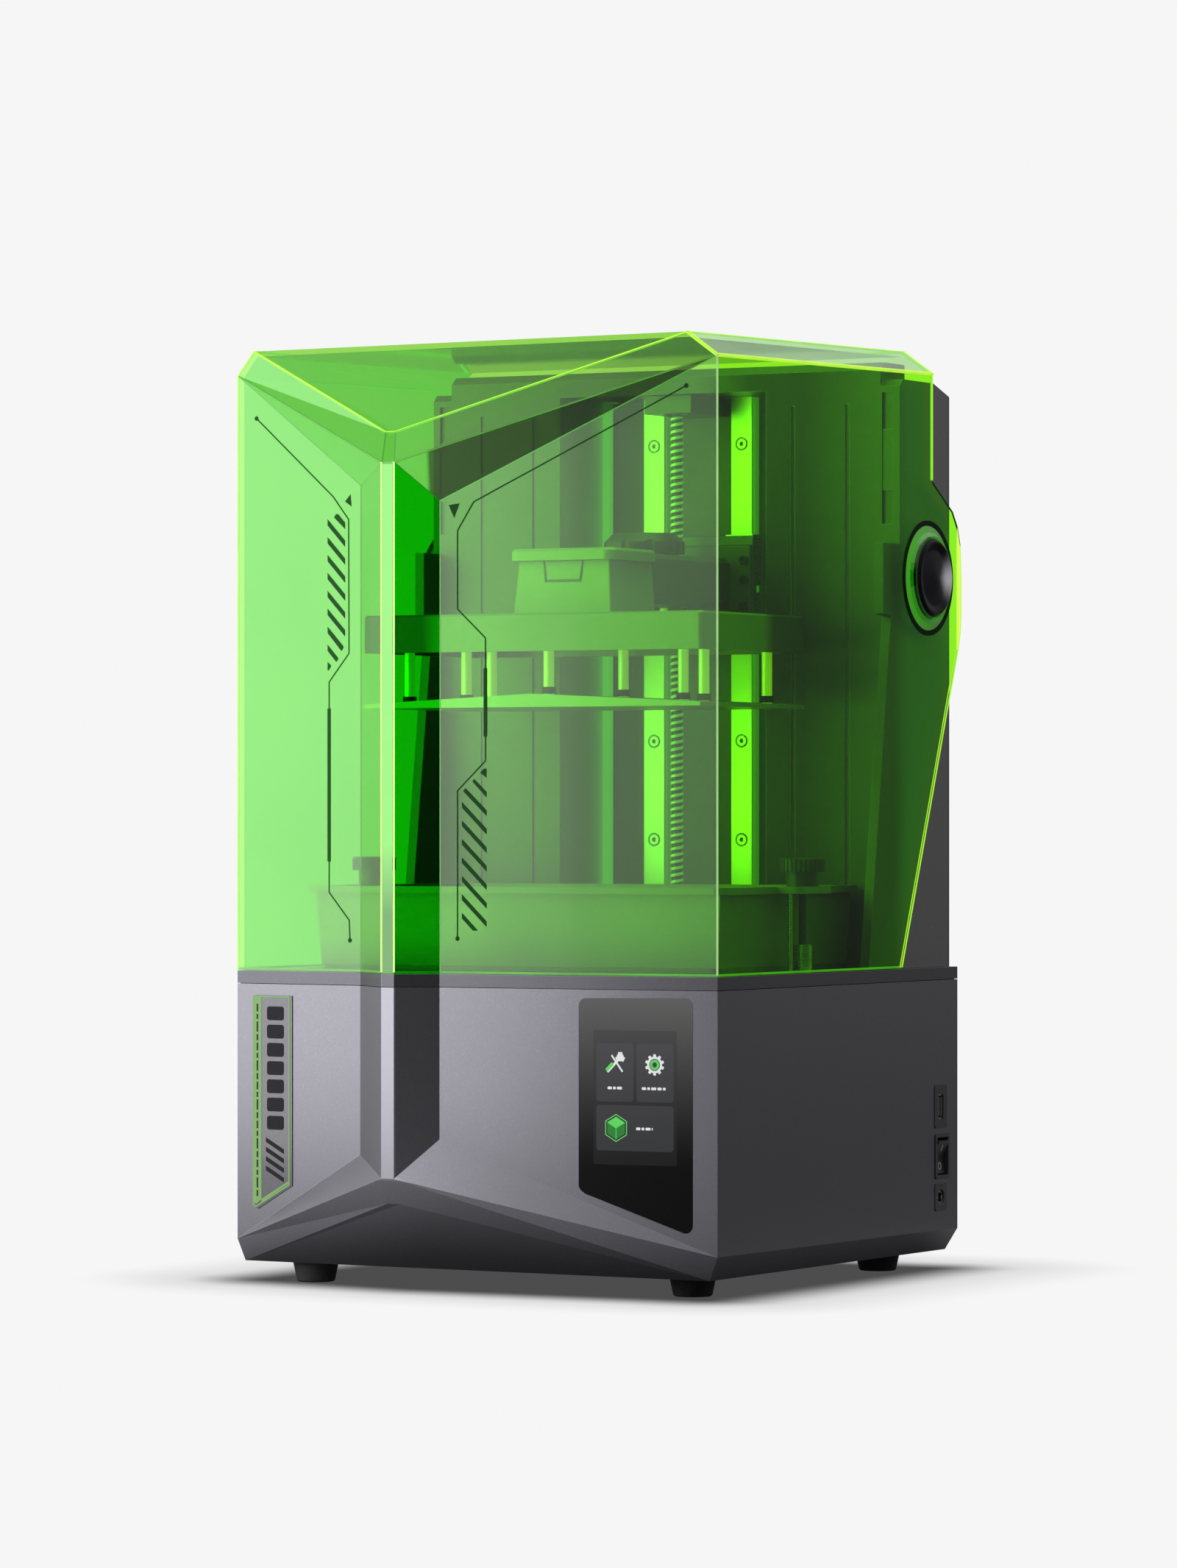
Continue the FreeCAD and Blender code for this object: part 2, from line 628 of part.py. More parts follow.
def linear_rails():
    rails = []
    for side in SIDES:
        x = side * RAIL_X
        rail = box(x - RAIL_W / 2, x + RAIL_W / 2, RAIL_Y0, BACKPLATE_Y0, RAIL_Z0, RAIL_Z1)
        for edge in SIDES:
            rail = rail.cut(cyl(1.6, RAIL_Z0 - 1, RAIL_Z1 + 1,
                                x + edge * RAIL_W / 2, RAIL_Y0 + 3.6))
        for z in RAIL_SCREW_ZS:
            rail = rail.cut(cyly(4.1, RAIL_Y0 - 1, SCREW_SEAT_Y, x, z))
            rail = rail.cut(cyly(2.0, RAIL_Y0, BACKPLATE_Y0 + 1, x, z))
        rails.append(rail)
    return compound(rails)


def rail_screws():
    head_y = RAIL_Y0 + 0.2
    screws = []
    for side in SIDES:
        x = side * RAIL_X
        for z in RAIL_SCREW_ZS:
            screw = cyly(3.3, head_y, SCREW_SEAT_Y, x, z)
            screw = screw.fuse(cyly(1.9, SCREW_SEAT_Y, BACKPLATE_Y0, x, z))
            screw = bevel(screw, 0.3, ending_at_y(head_y)).removeSplitter()
            screws.append(screw.cut(hexagon(1.55, RAIL_Y0 - 0.5, RAIL_Y0 + 2.6, x, z)))
    return compound(screws)


def channel_trims():
    """Upright strips: one pair before the back plate's face, one beside its edges."""
    trims = [box(side * 66.0 - 2.4, side * 66.0 + 2.4, 147.0, BACKPLATE_Y0, RAIL_Z0, RAIL_Z1)
             for side in SIDES]
    trims += [box(*span(side, 68.45, 69.95), BACKPLATE_Y0, BACKPLATE_Y1, RAIL_Z0, RAIL_Z1)
              for side in SIDES]
    return compound(trims)


# ---------------------------------------------------------------- lead screw drive
SHAFT_HOLE_R = 2.55
THREAD_Z0, THREAD_Z1 = 197.0, 514.0
JOURNAL_R = SCREW_R - 1.0
COUPLING_R = 9.5
MOTOR_HALF = 21.1
MOTOR_TOP = Z_SEAM + 0.35


def screw_top_block():
    block = box(-16.0, 16.0, 103.0, BACKPLATE_Y0, THREAD_Z1, 525.0)
    return block.cut(cyl(8.05, 510, 530, 0, SCREW_Y))


def screw_top_bearing():
    return ring(8.0, JOURNAL_R + 0.05, 516.0, 521.0, 0, SCREW_Y)


def z_limit_sensor():
    """Block with an upright slot in its front."""
    body = box(48.0, 62.0, 144.0, BACKPLATE_Y0, 190.0, 204.0)
    return body.cut(box(52.5, 57.5, 143.0, 149.0, 189.0, 205.0))


def z_motor():
    motor = rounded(box(-MOTOR_HALF, MOTOR_HALF, SCREW_Y - MOTOR_HALF, SCREW_Y + MOTOR_HALF,
                        128.0, MOTOR_TOP), 4.5)
    motor = motor.fuse(cyl(11.0, MOTOR_TOP, 176.0, 0, SCREW_Y)).removeSplitter()
    return motor.cut(cyl(2.56, 130.0, 180.0, 0, SCREW_Y))


def lead_screw():
    thread = cyl(SCREW_R, THREAD_Z0, THREAD_Z1, 0, SCREW_Y)
    return thread.fuse(cyl(JOURNAL_R, THREAD_Z1, 523.0, 0, SCREW_Y)).removeSplitter()


def flex_coupling():
    lower = ring(COUPLING_R, SHAFT_HOLE_R, 184.0, THREAD_Z0, 0, SCREW_Y)
    upper = ring(COUPLING_R, SCREW_R + 0.02, THREAD_Z0, 210.0, 0, SCREW_Y)
    coupling = lower.fuse(upper).removeSplitter()
    for z in (190.0, 193.0, 199.0, 202.0):
        coupling = coupling.cut(ring(10.5, 7.5, z, z + 0.9, 0, SCREW_Y))
    return coupling


def motor_shaft():
    return cyl(2.5, 140.0, 195.0, 0, SCREW_Y)


# ---------------------------------------------------------------- moving carriage
CARRIAGE_X = 42.0                          # half width of the carriage plate
CARRIAGE_Y0, CARRIAGE_Y1 = 134.0, 139.0
CARRIAGE_Z0, CARRIAGE_Z1 = 376.0, 441.0
CARRIAGE_FACE = CARRIAGE_Y0 - 2.0          # front of the raised pad on the plate
BLOCK_W, BLOCK_H = 18.6, 31.0              # rail blocks
ARM_X = 27.0                               # half width of the arm
ARM_Z0, ARM_Z1 = 397.0, 427.0
CLAMP_Y, CLAMP_R = 73.0, 24.2              # platform clamp knob


def rail_blocks():
    blocks = []
    for side in SIDES:
        x = side * RAIL_X
        half_gap = RAIL_W / 2 + 0.3
        for z0 in (CARRIAGE_Z0, 411.0):
            block = box(x - BLOCK_W / 2, x + BLOCK_W / 2, CARRIAGE_Y1, 150.0, z0, z0 + BLOCK_H)
            blocks.append(block.cut(box(x - half_gap, x + half_gap, RAIL_Y0 - 0.3, 151.0,
                                        z0 - 1, z0 + 35)))
    return compound(blocks)


def carriage_plate():
    plate = box(-CARRIAGE_X, CARRIAGE_X, CARRIAGE_Y0, CARRIAGE_Y1, CARRIAGE_Z0, CARRIAGE_Z1)
    pad_x = CARRIAGE_X - 0.8
    pad = box(-pad_x, pad_x, CARRIAGE_FACE, CARRIAGE_Y0, 378.0, 435.3)
    return bevel(plate.fuse(pad).removeSplitter(), 0.6, ending_at_y(CARRIAGE_FACE))


def carriage_screws():
    heads = []
    for x in (-37.0, 37.0):
        for z in (386.0, 398.0, 414.0, 426.0):
            head = cyly(2.8, CARRIAGE_FACE - 1.8, CARRIAGE_FACE, x, z)
            heads.append(head.cut(hexagon(1.4, CARRIAGE_FACE - 2.5, CARRIAGE_FACE - 0.5, x, z)))
    return compound(heads)


def carriage_arm():
    arm = box(-ARM_X, ARM_X, 26.0, CARRIAGE_FACE, ARM_Z0, ARM_Z1)
    # the four long edges
    arm = bevel(arm, 3.0, lambda e: e.BoundBox.YLength > 50 and e.BoundBox.XLength < 1e-3)
    web = [(96.0, ARM_Z0), (CARRIAGE_FACE, ARM_Z0), (CARRIAGE_FACE, 379.0)]
    arm = fuse(arm, *[prism_x(web, *span(side, 17.0, ARM_X)) for side in SIDES])
    arm = arm.cut(cyl(9.0, 390.0, 430.0, 0, SCREW_Y))
    return arm.cut(cyl(4.06, 405.0, 430.0, 0, CLAMP_Y))


def screw_nut():
    """Flanged nut, trimmed flat where it meets the carriage plate."""
    bore = SCREW_R + 0.06
    nut = ring(8.9, bore, 384.0, 420.0, 0, SCREW_Y)
    nut = nut.fuse(ring(13.5, bore, 389.0, ARM_Z0 - 0.1, 0, SCREW_Y)).removeSplitter()
    return nut.common(box(-20.0, 20.0, 90.0, CARRIAGE_FACE - 0.1, 380.0, 425.0))


def platform_knob():
    z0, z1 = 428.0, 440.4
    knob = bevel(cyl(CLAMP_R, z0, z1, 0, CLAMP_Y), 5.5, at_z(z1))
    # finger flutes
    flutes, flute_r = 10, CLAMP_R + 2.6
    for k in range(flutes):
        angle = 2 * math.pi * (k + 0.5) / flutes
        knob = knob.cut(cyl(4.0, 427.0, 443.0, flute_r * math.cos(angle),
                            CLAMP_Y + flute_r * math.sin(angle)))
    knob = knob.fuse(cyl(9.0, 427.2, z0, 0, CLAMP_Y))
    return knob.fuse(cyl(4.0, 408.0, z0 + 0.2, 0, CLAMP_Y)).removeSplitter()


# ---------------------------------------------------------------- build platform
PLATE_HX, PLATE_Y0, PLATE_Y1 = 112.5, -68.0, 64.0
PLATE_Z = 334.5                    # underside of build plate at rest
PLATE_EDGE, PLATE_CREST = 2.4, 7.8     # thickness at the side edges and the middle
FRAME_Z1 = 389.0                   # top of the platform frame
FRAME_CEILING = 381.0              # top of the hollow under the frame
HUB_Y1, HUB_Z1 = 25.9, 421.0       # rear and top of the hub
POST_R = 3.1                       # posts between the platform frame and the plate
POSTS = [(-98.0, -38.0), (0.0, -45.5), (98.0, -38.0), (-93.0, 52.0),
         (0.0, 46.5), (93.0, 52.0), (-72.5, -15.0), (72.5, -15.0)]


def platform_hub():
    hub = rect_loft((-32.5, 32.5, -29.5, HUB_Y1, FRAME_Z1), (-30.0, 30.0, -27.0, HUB_Y1, HUB_Z1))
    # release tab on the front, outlined by a groove
    tab_outer = prism_y([(-13.6, 422.0), (13.6, 422.0), (12.0, 408.4), (-12.0, 408.4)],
                        -34.0, -26.2)
    tab_inner = prism_y([(-12.5, 422.0), (12.5, 422.0), (11.0, 409.5), (-11.0, 409.5)],
                        -34.0, -26.0)
    return hub.cut(tab_outer.cut(tab_inner)).removeSplitter()


def hub_cap():
    cap_z1 = HUB_Z1 + 7.0
    cap = rounded(box(-35.0, 35.0, -32.0, HUB_Y1, HUB_Z1, cap_z1), 7.0)
    return bevel(cap, 1.6, at_z(cap_z1))


def platform_frame():
    """Slab with a hollow underside."""
    slab = rounded(box(-PLATE_HX, PLATE_HX, PLATE_Y0, PLATE_Y1, 367.0, FRAME_Z1), 3.0)
    slab = bevel(slab, 1.2, at_z(FRAME_Z1))
    wall = 6
    return slab.cut(box(-PLATE_HX + wall, PLATE_HX - wall, PLATE_Y0 + wall, PLATE_Y1 - wall,
                        366.0, FRAME_CEILING))


def build_plate():
    edge_z = PLATE_Z + PLATE_EDGE
    plate = prism_y([(-PLATE_HX, PLATE_Z), (PLATE_HX, PLATE_Z), (PLATE_HX, edge_z),
                     (0, PLATE_Z + PLATE_CREST), (-PLATE_HX, edge_z)], PLATE_Y0, PLATE_Y1)
    plate = rounded(plate, 2.0)
    for x, y in POSTS:
        plate = plate.cut(cyl(POST_R, PLATE_Z + 1.2, PLATE_Z + 20, x, y))
    return plate


def plate_posts():
    return compound([cyl(POST_R, PLATE_Z + 1.2, FRAME_CEILING, x, y) for x, y in POSTS])


def post_collars():
    """Rings round the posts, just above the sloping top of the plate."""
    collars = []
    for x, y in POSTS:
        top = PLATE_Z + PLATE_CREST - (PLATE_CREST - PLATE_EDGE) * abs(x) / PLATE_HX
        z0 = top + 0.25
        collars.append(ring(POST_R + 1.0, POST_R, z0, z0 + 4.0, x, y))
    return compound(collars)


# ---------------------------------------------------------------- vat
VAT_Z = 184.5             # underside of the vat body
RIM_Z0, RIM_Z1 = 226.5, 230.5
FILM_Z0 = 181.25          # underside of the release film
FILM_Z1 = FILM_Z0 + 0.3


def resin_vat():
    outer = axis_loft((131.0, 82.0, VAT_Z), (133.5, 84.5, 227.0))
    inner = axis_loft((126.6, 77.6, VAT_Z - 1.0), (129.6, 80.6, 232.0))
    rim = rounded(axis_box(138.0, 89.0, RIM_Z0, RIM_Z1), 7.0)
    ears = [rounded(box(*span(side, 130.0, 153.0), AXIS_Y - 22.0, AXIS_Y + 22.0,
                        RIM_Z0, RIM_Z1), 5.0) for side in SIDES]
    vat = fuse(outer, rim, *ears).cut(inner)
    for side in SIDES:
        vat = vat.cut(cyl(3.0, 220, 235, side * VAT_KNOB_X, AXIS_Y))
        vat = vat.cut(cyl(1.4, 220, 235, side * VAT_KNOB_X, LOCATOR_Y))
    return vat


def release_film():
    return axis_box(129.5, 80.5, FILM_Z0, FILM_Z1)


def film_frame():
    frame = rounded(axis_box(131.0, 82.0, FILM_Z1, VAT_Z), 5.0)
    return frame.cut(axis_box(126.4, 77.4, 180.0, 186.0))


def vat_knob(side):
    """Knurled knob with its collar and threaded stem."""
    x = side * VAT_KNOB_X
    z0, z1 = 239.0, 247.0
    knob = bevel(cyl(13.0, z0, z1, x, AXIS_Y), 0.8, at_z(z1))
    notches, notch_r = 28, 13.3
    for i in range(notches):
        angle = 2 * math.pi * i / notches
        knob = knob.cut(cyl(0.95, z0 - 1, z1 + 1, x + notch_r * math.cos(angle),
                            AXIS_Y + notch_r * math.sin(angle)))
    knob = knob.fuse(cyl(9.3, RIM_Z1 + 0.1, z0, x, AXIS_Y))
    return knob.fuse(cyl(2.2, 184.0, 231.0, x, AXIS_Y)).removeSplitter()


def vat_knob_left():
    return vat_knob(-1)


def vat_knob_right():
    return vat_knob(1)


def vat_bosses():
    """Sleeves round the knob stems, and the locating pins."""
    sleeves = [ring(5.5, 2.26, Z_DECK, 197.0, side * VAT_KNOB_X, AXIS_Y) for side in SIDES]
    pins = [cyl(1.3, Z_DECK, 229.5, side * VAT_KNOB_X, LOCATOR_Y) for side in SIDES]
    return compound(sleeves + pins)


# ---------------------------------------------------------------- lid
LID_Z0 = Z_DECK + 0.2
LID_WALL = 3.0
LID_BACK = 130.1          # rear of the lid
OVERRUN = 12.0            # the cavity runs this far out through the bottom and rear
ROOF_Y0 = -145.0          # front of the roof


def roof_z(y):
    """The roof rises 6 mm from its front to the rear of the lid."""
    return 542.0 + 6.0 * (y - ROOF_Y0) / (LID_BACK - ROOF_Y0)


# levels: a bottom rim, t top of the walls, u roof
LID_OUTLINE = OUTLINE[:6] + [(HALF_W, LID_BACK), (-HALF_W, LID_BACK)]
LID_POINTS = {
    **corners("a", LID_OUTLINE, [LID_Z0] * 8),
    **corners("t", LID_OUTLINE, [528.4, 461.6, 473.0, 473.0, 451.1, 528.4, 534.5, 534.5]),
    "u1": (-155.0, -121.5, roof_z(-121.5)),
    "u3": (-46.6, -154.9, 491.0),
    "u4": (-40.3, -154.9, 491.0),
    "u6": (143.5, ROOF_Y0, roof_z(ROOF_Y0)),
    "u7": (144.7, LID_BACK, roof_z(LID_BACK)),
    "u8": (-152.0, LID_BACK, roof_z(LID_BACK)),
}
LID_FACES = face_list("""a1 a8 a7 a6 a5 a4 a3 a2,
    a1 a2 t2 t1, a2 a3 t3 t2, a3 a4 t4 t3, a4 a5 t5 t4,
    a5 a6 t6 t5, a6 a7 t7 t6, a8 a1 t1 t8,
    a7 a8 t8 u8 u7 t7,
    t1 t2 t3, t4 t5 t6,
    t1 t3 u3, t1 u3 u1, t3 t4 u4, t3 u4 u3, t4 t6 u6, t4 u6 u4,
    u1 u3 u4, u1 u4 u6, u1 u6 u7 u8,
    t6 t7 u7, t6 u7 u6, t8 t1 u1, t8 u1 u8""")
LID_BOTTOM, LID_REAR = LID_FACES[0], LID_FACES[8]
# side view of the ear round the hinge (y, z)
EAR = [(LID_BACK - 6.0, 266.9), (LID_BACK, 281.6), (166.5, 371.1), (169.6, 382.0),
       (170.6, 393.3), (170.6, 414.0), (169.2, 433.9), (165.0, 445.0), (158.2, 453.7),
       (LID_BACK, 470.5), (LID_BACK - 6.0, 470.5)]


def plane_of(face):
    """Outward unit normal of a lid face and its distance from the origin."""
    points = [V(*LID_POINTS[k]) for k in face]
    normal, total = V(0, 0, 0), V(0, 0, 0)
    for p, q in zip(points, points[1:] + points[:1]):
        normal = normal + p.cross(q)
        total = total + p
    normal.normalize()
    return normal, normal.dot(total) / len(points)


def inset_corner(key):
    """Least-squares meeting point of the faces at a corner, each moved in by the wall.

    A weak pull to the outer corner settles any direction the faces leave open.
    The 3 x 3 normal equations are symmetric and are solved by Cramer's rule.
    """
    pull = 0.0004
    rows = [V(pull, 0, 0), V(0, pull, 0), V(0, 0, pull)]
    target = V(*LID_POINTS[key]) * pull
    for face in LID_FACES:
        if key not in face:
            continue
        normal, distance = plane_of(face)
        distance += OVERRUN if face is LID_REAR else -LID_WALL
        parts = (normal.x, normal.y, normal.z)
        rows = [row + normal * part for row, part in zip(rows, parts)]
        target = target + normal * distance
    a, b, c = rows
    scale = 1.0 / a.dot(b.cross(c))
    return V(target.dot(b.cross(c)) * scale,
             a.dot(target.cross(c)) * scale,
             a.dot(b.cross(target)) * scale)


def lid_cavity():
    inner = {key: inset_corner(key) for key in LID_POINTS if key[0] != "a"}
    for key in ("t7", "u7", "u8", "t8"):
        inner[key].y = LID_BACK + OVERRUN
    for side, keys in ((-1, ("t1", "t8")), (1, ("t6", "t7"))):
        for key in keys:
            inner[key].x = side * (HALF_W - LID_WALL)
    # the walls drop straight down from level t
    for i in range(1, 9):
        top = inner["t%d" % i]
        inner["a%d" % i] = V(top.x, top.y, LID_Z0 - OVERRUN)
    # inset corners no longer keep four-sided faces flat, so these become triangles
    faces = []
    for face in LID_FACES:
        if face is LID_BOTTOM or face is LID_REAR:
            continue
        faces.append(face[:3])
        if len(face) == 4:
            faces.append([face[0], face[2], face[3]])
    faces.append(LID_BOTTOM)
    faces += face_list("a7 a8 t8, a7 t8 t7, t7 t8 u8, t7 u8 u7")
    return faceted_solid(inner, faces)


def lid_shell():
    lid = faceted_solid(LID_POINTS, LID_FACES).cut(lid_cavity())
    # the lower rear corner is cut off at a slant
    profile = [(-200, LID_Z0), (89.3, LID_Z0), (LID_BACK, 281.6), (LID_BACK, 600), (-200, 600)]
    lid = lid.common(prism_x(profile, -200, 200))
    for side in SIDES:
        lid = lid.fuse(prism_x(EAR, *span(side, HALF_W, HALF_W - LID_WALL)))
    lid = lid.removeSplitter()
    for side in SIDES:
        # raised conical boss round the hinge, cap recess, pin hole, outer ring groove
        lid = lid.fuse(hinge_cone(28.5, 25.0, 4.2, side, HALF_W))
        lid = lid.cut(hinge_cyl(23.2, side, 164.4, 172.0))
        lid = lid.cut(hinge_cyl(14.06, side, 159.0, 172.0))
        groove = (side, HALF_W - 0.6, HALF_W + 1.0)
        lid = lid.cut(hinge_cyl(33.8, *groove).cut(hinge_cyl(32.2, *groove)))
    return lid.removeSplitter()


def hinge_caps():
    """Discs with a dished ring round a low central cone."""
    disc_x = 168.2
    caps = []
    for side in SIDES:
        cap = hinge_cone(22.8, 21.6, 1.4, side, disc_x)
        cap = cap.fuse(hinge_cyl(23.0, side, 164.45, disc_x))
        cap = cap.cut(hinge_cone(17.0, 20.6, 1.4, side, disc_x + 0.1))
        cap = cap.fuse(hinge_cone(17.0, 2.0, 1.8, side, disc_x))
        caps.append(cap.removeSplitter())
    return compound(caps)


def hinge_pins():
    return compound([hinge_cyl(14.0, side, 148.0, 164.2)
                     .fuse(hinge_cyl(20.0, side, 146.0, 155.6)).removeSplitter()
                     for side in SIDES])


def hinge_brackets():
    y, z = PIVOT
    brackets = []
    for side in SIDES:
        block = box(*span(side, 134.0, 145.9), y - 24, y + 24, z - 40, z + 40)
        brackets.append(block.cut(hinge_cyl(7.0, side, 130.0, 150.0)))
    return compound(brackets)


# ---------------------------------------------------------------- write the pieces
# each function is named after its piece
PIECES = [
    base_shell, floor_pan, casing_screws, rubber_feet,
    deck_plate, seam_gasket, mask_lcd, screen_glass,
    light_housing, collimating_lens, led_array, led_heatsink,
    led_fan_frame, led_fan_rotor, rear_fan_frame, rear_fan_rotor,
    main_board, touchscreen_glass, touchscreen_module, side_badge,
    usb_port, switch_housing, power_rocker, port_bezels, dc_jack,
    tower_shell, tower_back_cover, z_backplate,
    linear_rails, rail_screws, channel_trims,
    screw_top_block, screw_top_bearing, z_limit_sensor, z_motor,
    lead_screw, flex_coupling, motor_shaft,
    rail_blocks, carriage_plate, carriage_screws, carriage_arm, screw_nut, platform_knob,
    platform_hub, hub_cap, platform_frame, build_plate, plate_posts, post_collars,
    resin_vat, release_film, film_frame, vat_knob_left, vat_knob_right, vat_bosses,
    lid_shell, hinge_caps, hinge_pins, hinge_brackets,
]
for piece in PIECES:
    save(piece.__name__, piece())
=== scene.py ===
"""A cabinet with a dark painted base, a column at the rear and a tinted green hinged lid.

+X is right, -Y is front, +Z is up. Outlines and places on the walls are in millimetres;
coordinates inside materials, the camera and the lights are in metres. The front is a prow:
a left and a right face that meet at a narrow flat crest left of the middle.
"""
import itertools
import math

import bmesh
import bpy
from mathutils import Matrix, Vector


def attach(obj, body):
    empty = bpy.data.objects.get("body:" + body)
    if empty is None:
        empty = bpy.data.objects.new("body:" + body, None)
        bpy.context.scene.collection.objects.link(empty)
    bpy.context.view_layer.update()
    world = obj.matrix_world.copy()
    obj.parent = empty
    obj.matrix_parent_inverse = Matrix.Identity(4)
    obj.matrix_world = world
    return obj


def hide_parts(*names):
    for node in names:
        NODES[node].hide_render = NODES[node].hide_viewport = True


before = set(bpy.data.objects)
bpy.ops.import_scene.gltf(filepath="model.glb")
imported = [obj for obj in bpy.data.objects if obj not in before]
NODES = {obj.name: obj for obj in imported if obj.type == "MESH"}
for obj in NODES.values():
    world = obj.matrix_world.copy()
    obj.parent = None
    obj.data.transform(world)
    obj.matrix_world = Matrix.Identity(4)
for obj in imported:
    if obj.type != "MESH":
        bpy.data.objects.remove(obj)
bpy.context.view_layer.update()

MM = 0.001

# ---------------------------------------------------------------- shared layout, millimetres
HALF_WIDTH = 163.7
REAR_Y = 130.1       # rear edge of the lid
LID_FOOT = 181.4     # height of the lid's lower edge
HINGE = (123.7, 412.6)  # y, z of the hinge axis
SCREW_Y = 115.0      # the lead screw stands at x = 0
FRONT = {            # corners of the prow in plan, left to right: x, y
    "left": (-HALF_WIDTH, -125.2),
    "bend_l": (-72.6, -138.8),
    "crest_l": (-43.25, -164.9),
    "crest_r": (-35.05, -164.9),
    "bend_r": (-13.1, -150.7),
    "right": (HALF_WIDTH, -148.0),
}
BLACK = (0.0, 0.0, 0.0)
BACKDROP = (0.922, 0.922, 0.922)


def front_face(start, end, anchor):
    """Placer of points on a front face: x, z and the depth outwards."""
    angle = math.atan2(end[1] - start[1], end[0] - start[0])

    def place(x, z, depth):
        y = anchor[1] + (x - anchor[0]) * math.tan(angle)
        return Vector((x + depth * math.sin(angle), y - depth * math.cos(angle), z)) * MM
    return place


def side_wall(sign):
    """Placer of points on a side wall: y, z and the depth outwards."""
    return lambda y, z, depth: Vector((sign * (HALF_WIDTH + depth), y, z)) * MM


on_left = front_face(FRONT["left"], FRONT["bend_l"], anchor=FRONT["bend_l"])
on_right = front_face(FRONT["bend_r"], FRONT["right"], anchor=FRONT["bend_r"])
SIDES = (side_wall(-1), side_wall(1))


# ---------------------------------------------------------------- shader kit
class Field:
    """Output of a shader node; arithmetic on it adds Math nodes."""

    def __init__(self, graph, socket):
        self.graph = graph
        self.socket = socket

    def __add__(self, other):
        return self.graph.math("ADD", self, other)

    def __sub__(self, other):
        return self.graph.math("SUBTRACT", self, other)

    def __rsub__(self, other):
        return self.graph.math("SUBTRACT", other, self)

    def __mul__(self, other):
        return self.graph.math("MULTIPLY", self, other)

    def __pow__(self, other):
        return self.graph.math("POWER", self, other)

    def span(self, start, stop, low=0.0, high=1.0, smooth=False):
        """Carry start..stop over to low..high, held at both ends."""
        return self.graph.field(
            "MapRange", "Result",
            {"Value": self, "From Min": start, "From Max": stop, "To Min": low, "To Max": high},
            interpolation_type="SMOOTHSTEP" if smooth else "LINEAR")

    def ripple(self, low, high):
        """Spread the usual range of a noise over low..high."""
        return self.span(0.3, 0.7, low, high)

    def mix(self, zero, one):
        """Blend from colour zero to colour one."""
        return self.graph.field("Mix", 2, {"Factor": self, 6: zero, 7: one}, data_type="RGBA")

    def dot(self, direction):
        return self.graph.field("VectorMath", "Value", {0: self, 1: direction},
                                operation="DOT_PRODUCT")

    def bump(self, strength, distance):
        return self.graph.field(
            "Bump", "Normal", {"Height": self, "Strength": strength, "Distance": distance})


class Graph:
    """The node tree of a material or world."""

    def __init__(self, owner, output):
        owner.use_nodes = True
        self.owner = owner
        self.tree = owner.node_tree
        self.tree.nodes.clear()
        self.output = self.add(output)
        self.coords = self.add("TexCoord").outputs

    def add(self, kind, inputs=None, **settings):
        node = self.tree.nodes.new("ShaderNode" + kind)
        for key, value in settings.items():
            setattr(node, key, value)
        for key, value in (inputs or {}).items():
            self.put(node.inputs[key], value)
        return node

    def field(self, kind, output, inputs=None, **settings):
        return Field(self, self.add(kind, inputs, **settings).outputs[output])

    def put(self, socket, value):
        if isinstance(value, Field):
            self.tree.links.new(value.socket, socket)
        elif socket.type == "RGBA":
            socket.default_value = (*value, 1.0)
        else:
            socket.default_value = value

    def math(self, operation, first, second=0.0, *third):
        inputs = dict(enumerate((first, second, *third)))
        return self.field("Math", 0, inputs, operation=operation)

    def shade(self, factor, zero, one):
        """Blend two shaders."""
        return self.field("MixShader", 0, {0: factor, 1: zero, 2: one})

    def finish(self, shader):
        self.put(self.output.inputs["Surface"], shader)
        return self.owner


class Material(Graph):
    def __init__(self, name):
        super().__init__(bpy.data.materials.new(name), "OutputMaterial")
        self.position = Field(self, self.coords["Object"])
        self.normal = Field(self, self.coords["Normal"])

    def scaled(self, x, y, z):
        return self.field("Mapping", "Vector", {"Vector": self.position, "Scale": (x, y, z)})

    def noise(self, scale, detail=2.0, rough=0.5, vector=None):
        return self.field("TexNoise", "Fac", {
            "Vector": vector or self.position, "Scale": scale,
            "Detail": detail, "Roughness": rough})

    def cells(self, scale):
        """A random number for each cell."""
        color = self.field("TexVoronoi", "Color", {"Vector": self.position, "Scale": scale})
        return self.field("SeparateColor", 0, {0: color})

    def axis(self, letter):
        """Object coordinate in metres."""
        return self.field("SeparateXYZ", letter, {0: self.position})

    def principled(self, color, rough, metallic=0.0, bump=None, coat=0.0, coat_rough=0.1,
                   emit=None, strength=1.0, specular=None):
        inputs = {"Base Color": color, "Roughness": rough, "Metallic": metallic,
                  "Coat Weight": coat, "Coat Roughness": coat_rough}
        if bump is not None:
            inputs["Normal"] = bump
        if specular is not None:
            inputs["Specular IOR Level"] = specular
        if emit is not None:
            inputs["Emission Color"] = emit
            inputs["Emission Strength"] = strength
        return self.field("BsdfPrincipled", 0, inputs)

    def paint(self, *arguments, **named):
        return self.finish(self.principled(*arguments, **named))


def tone(color, gain):
    return tuple(min(1.0, value * gain) for value in color)


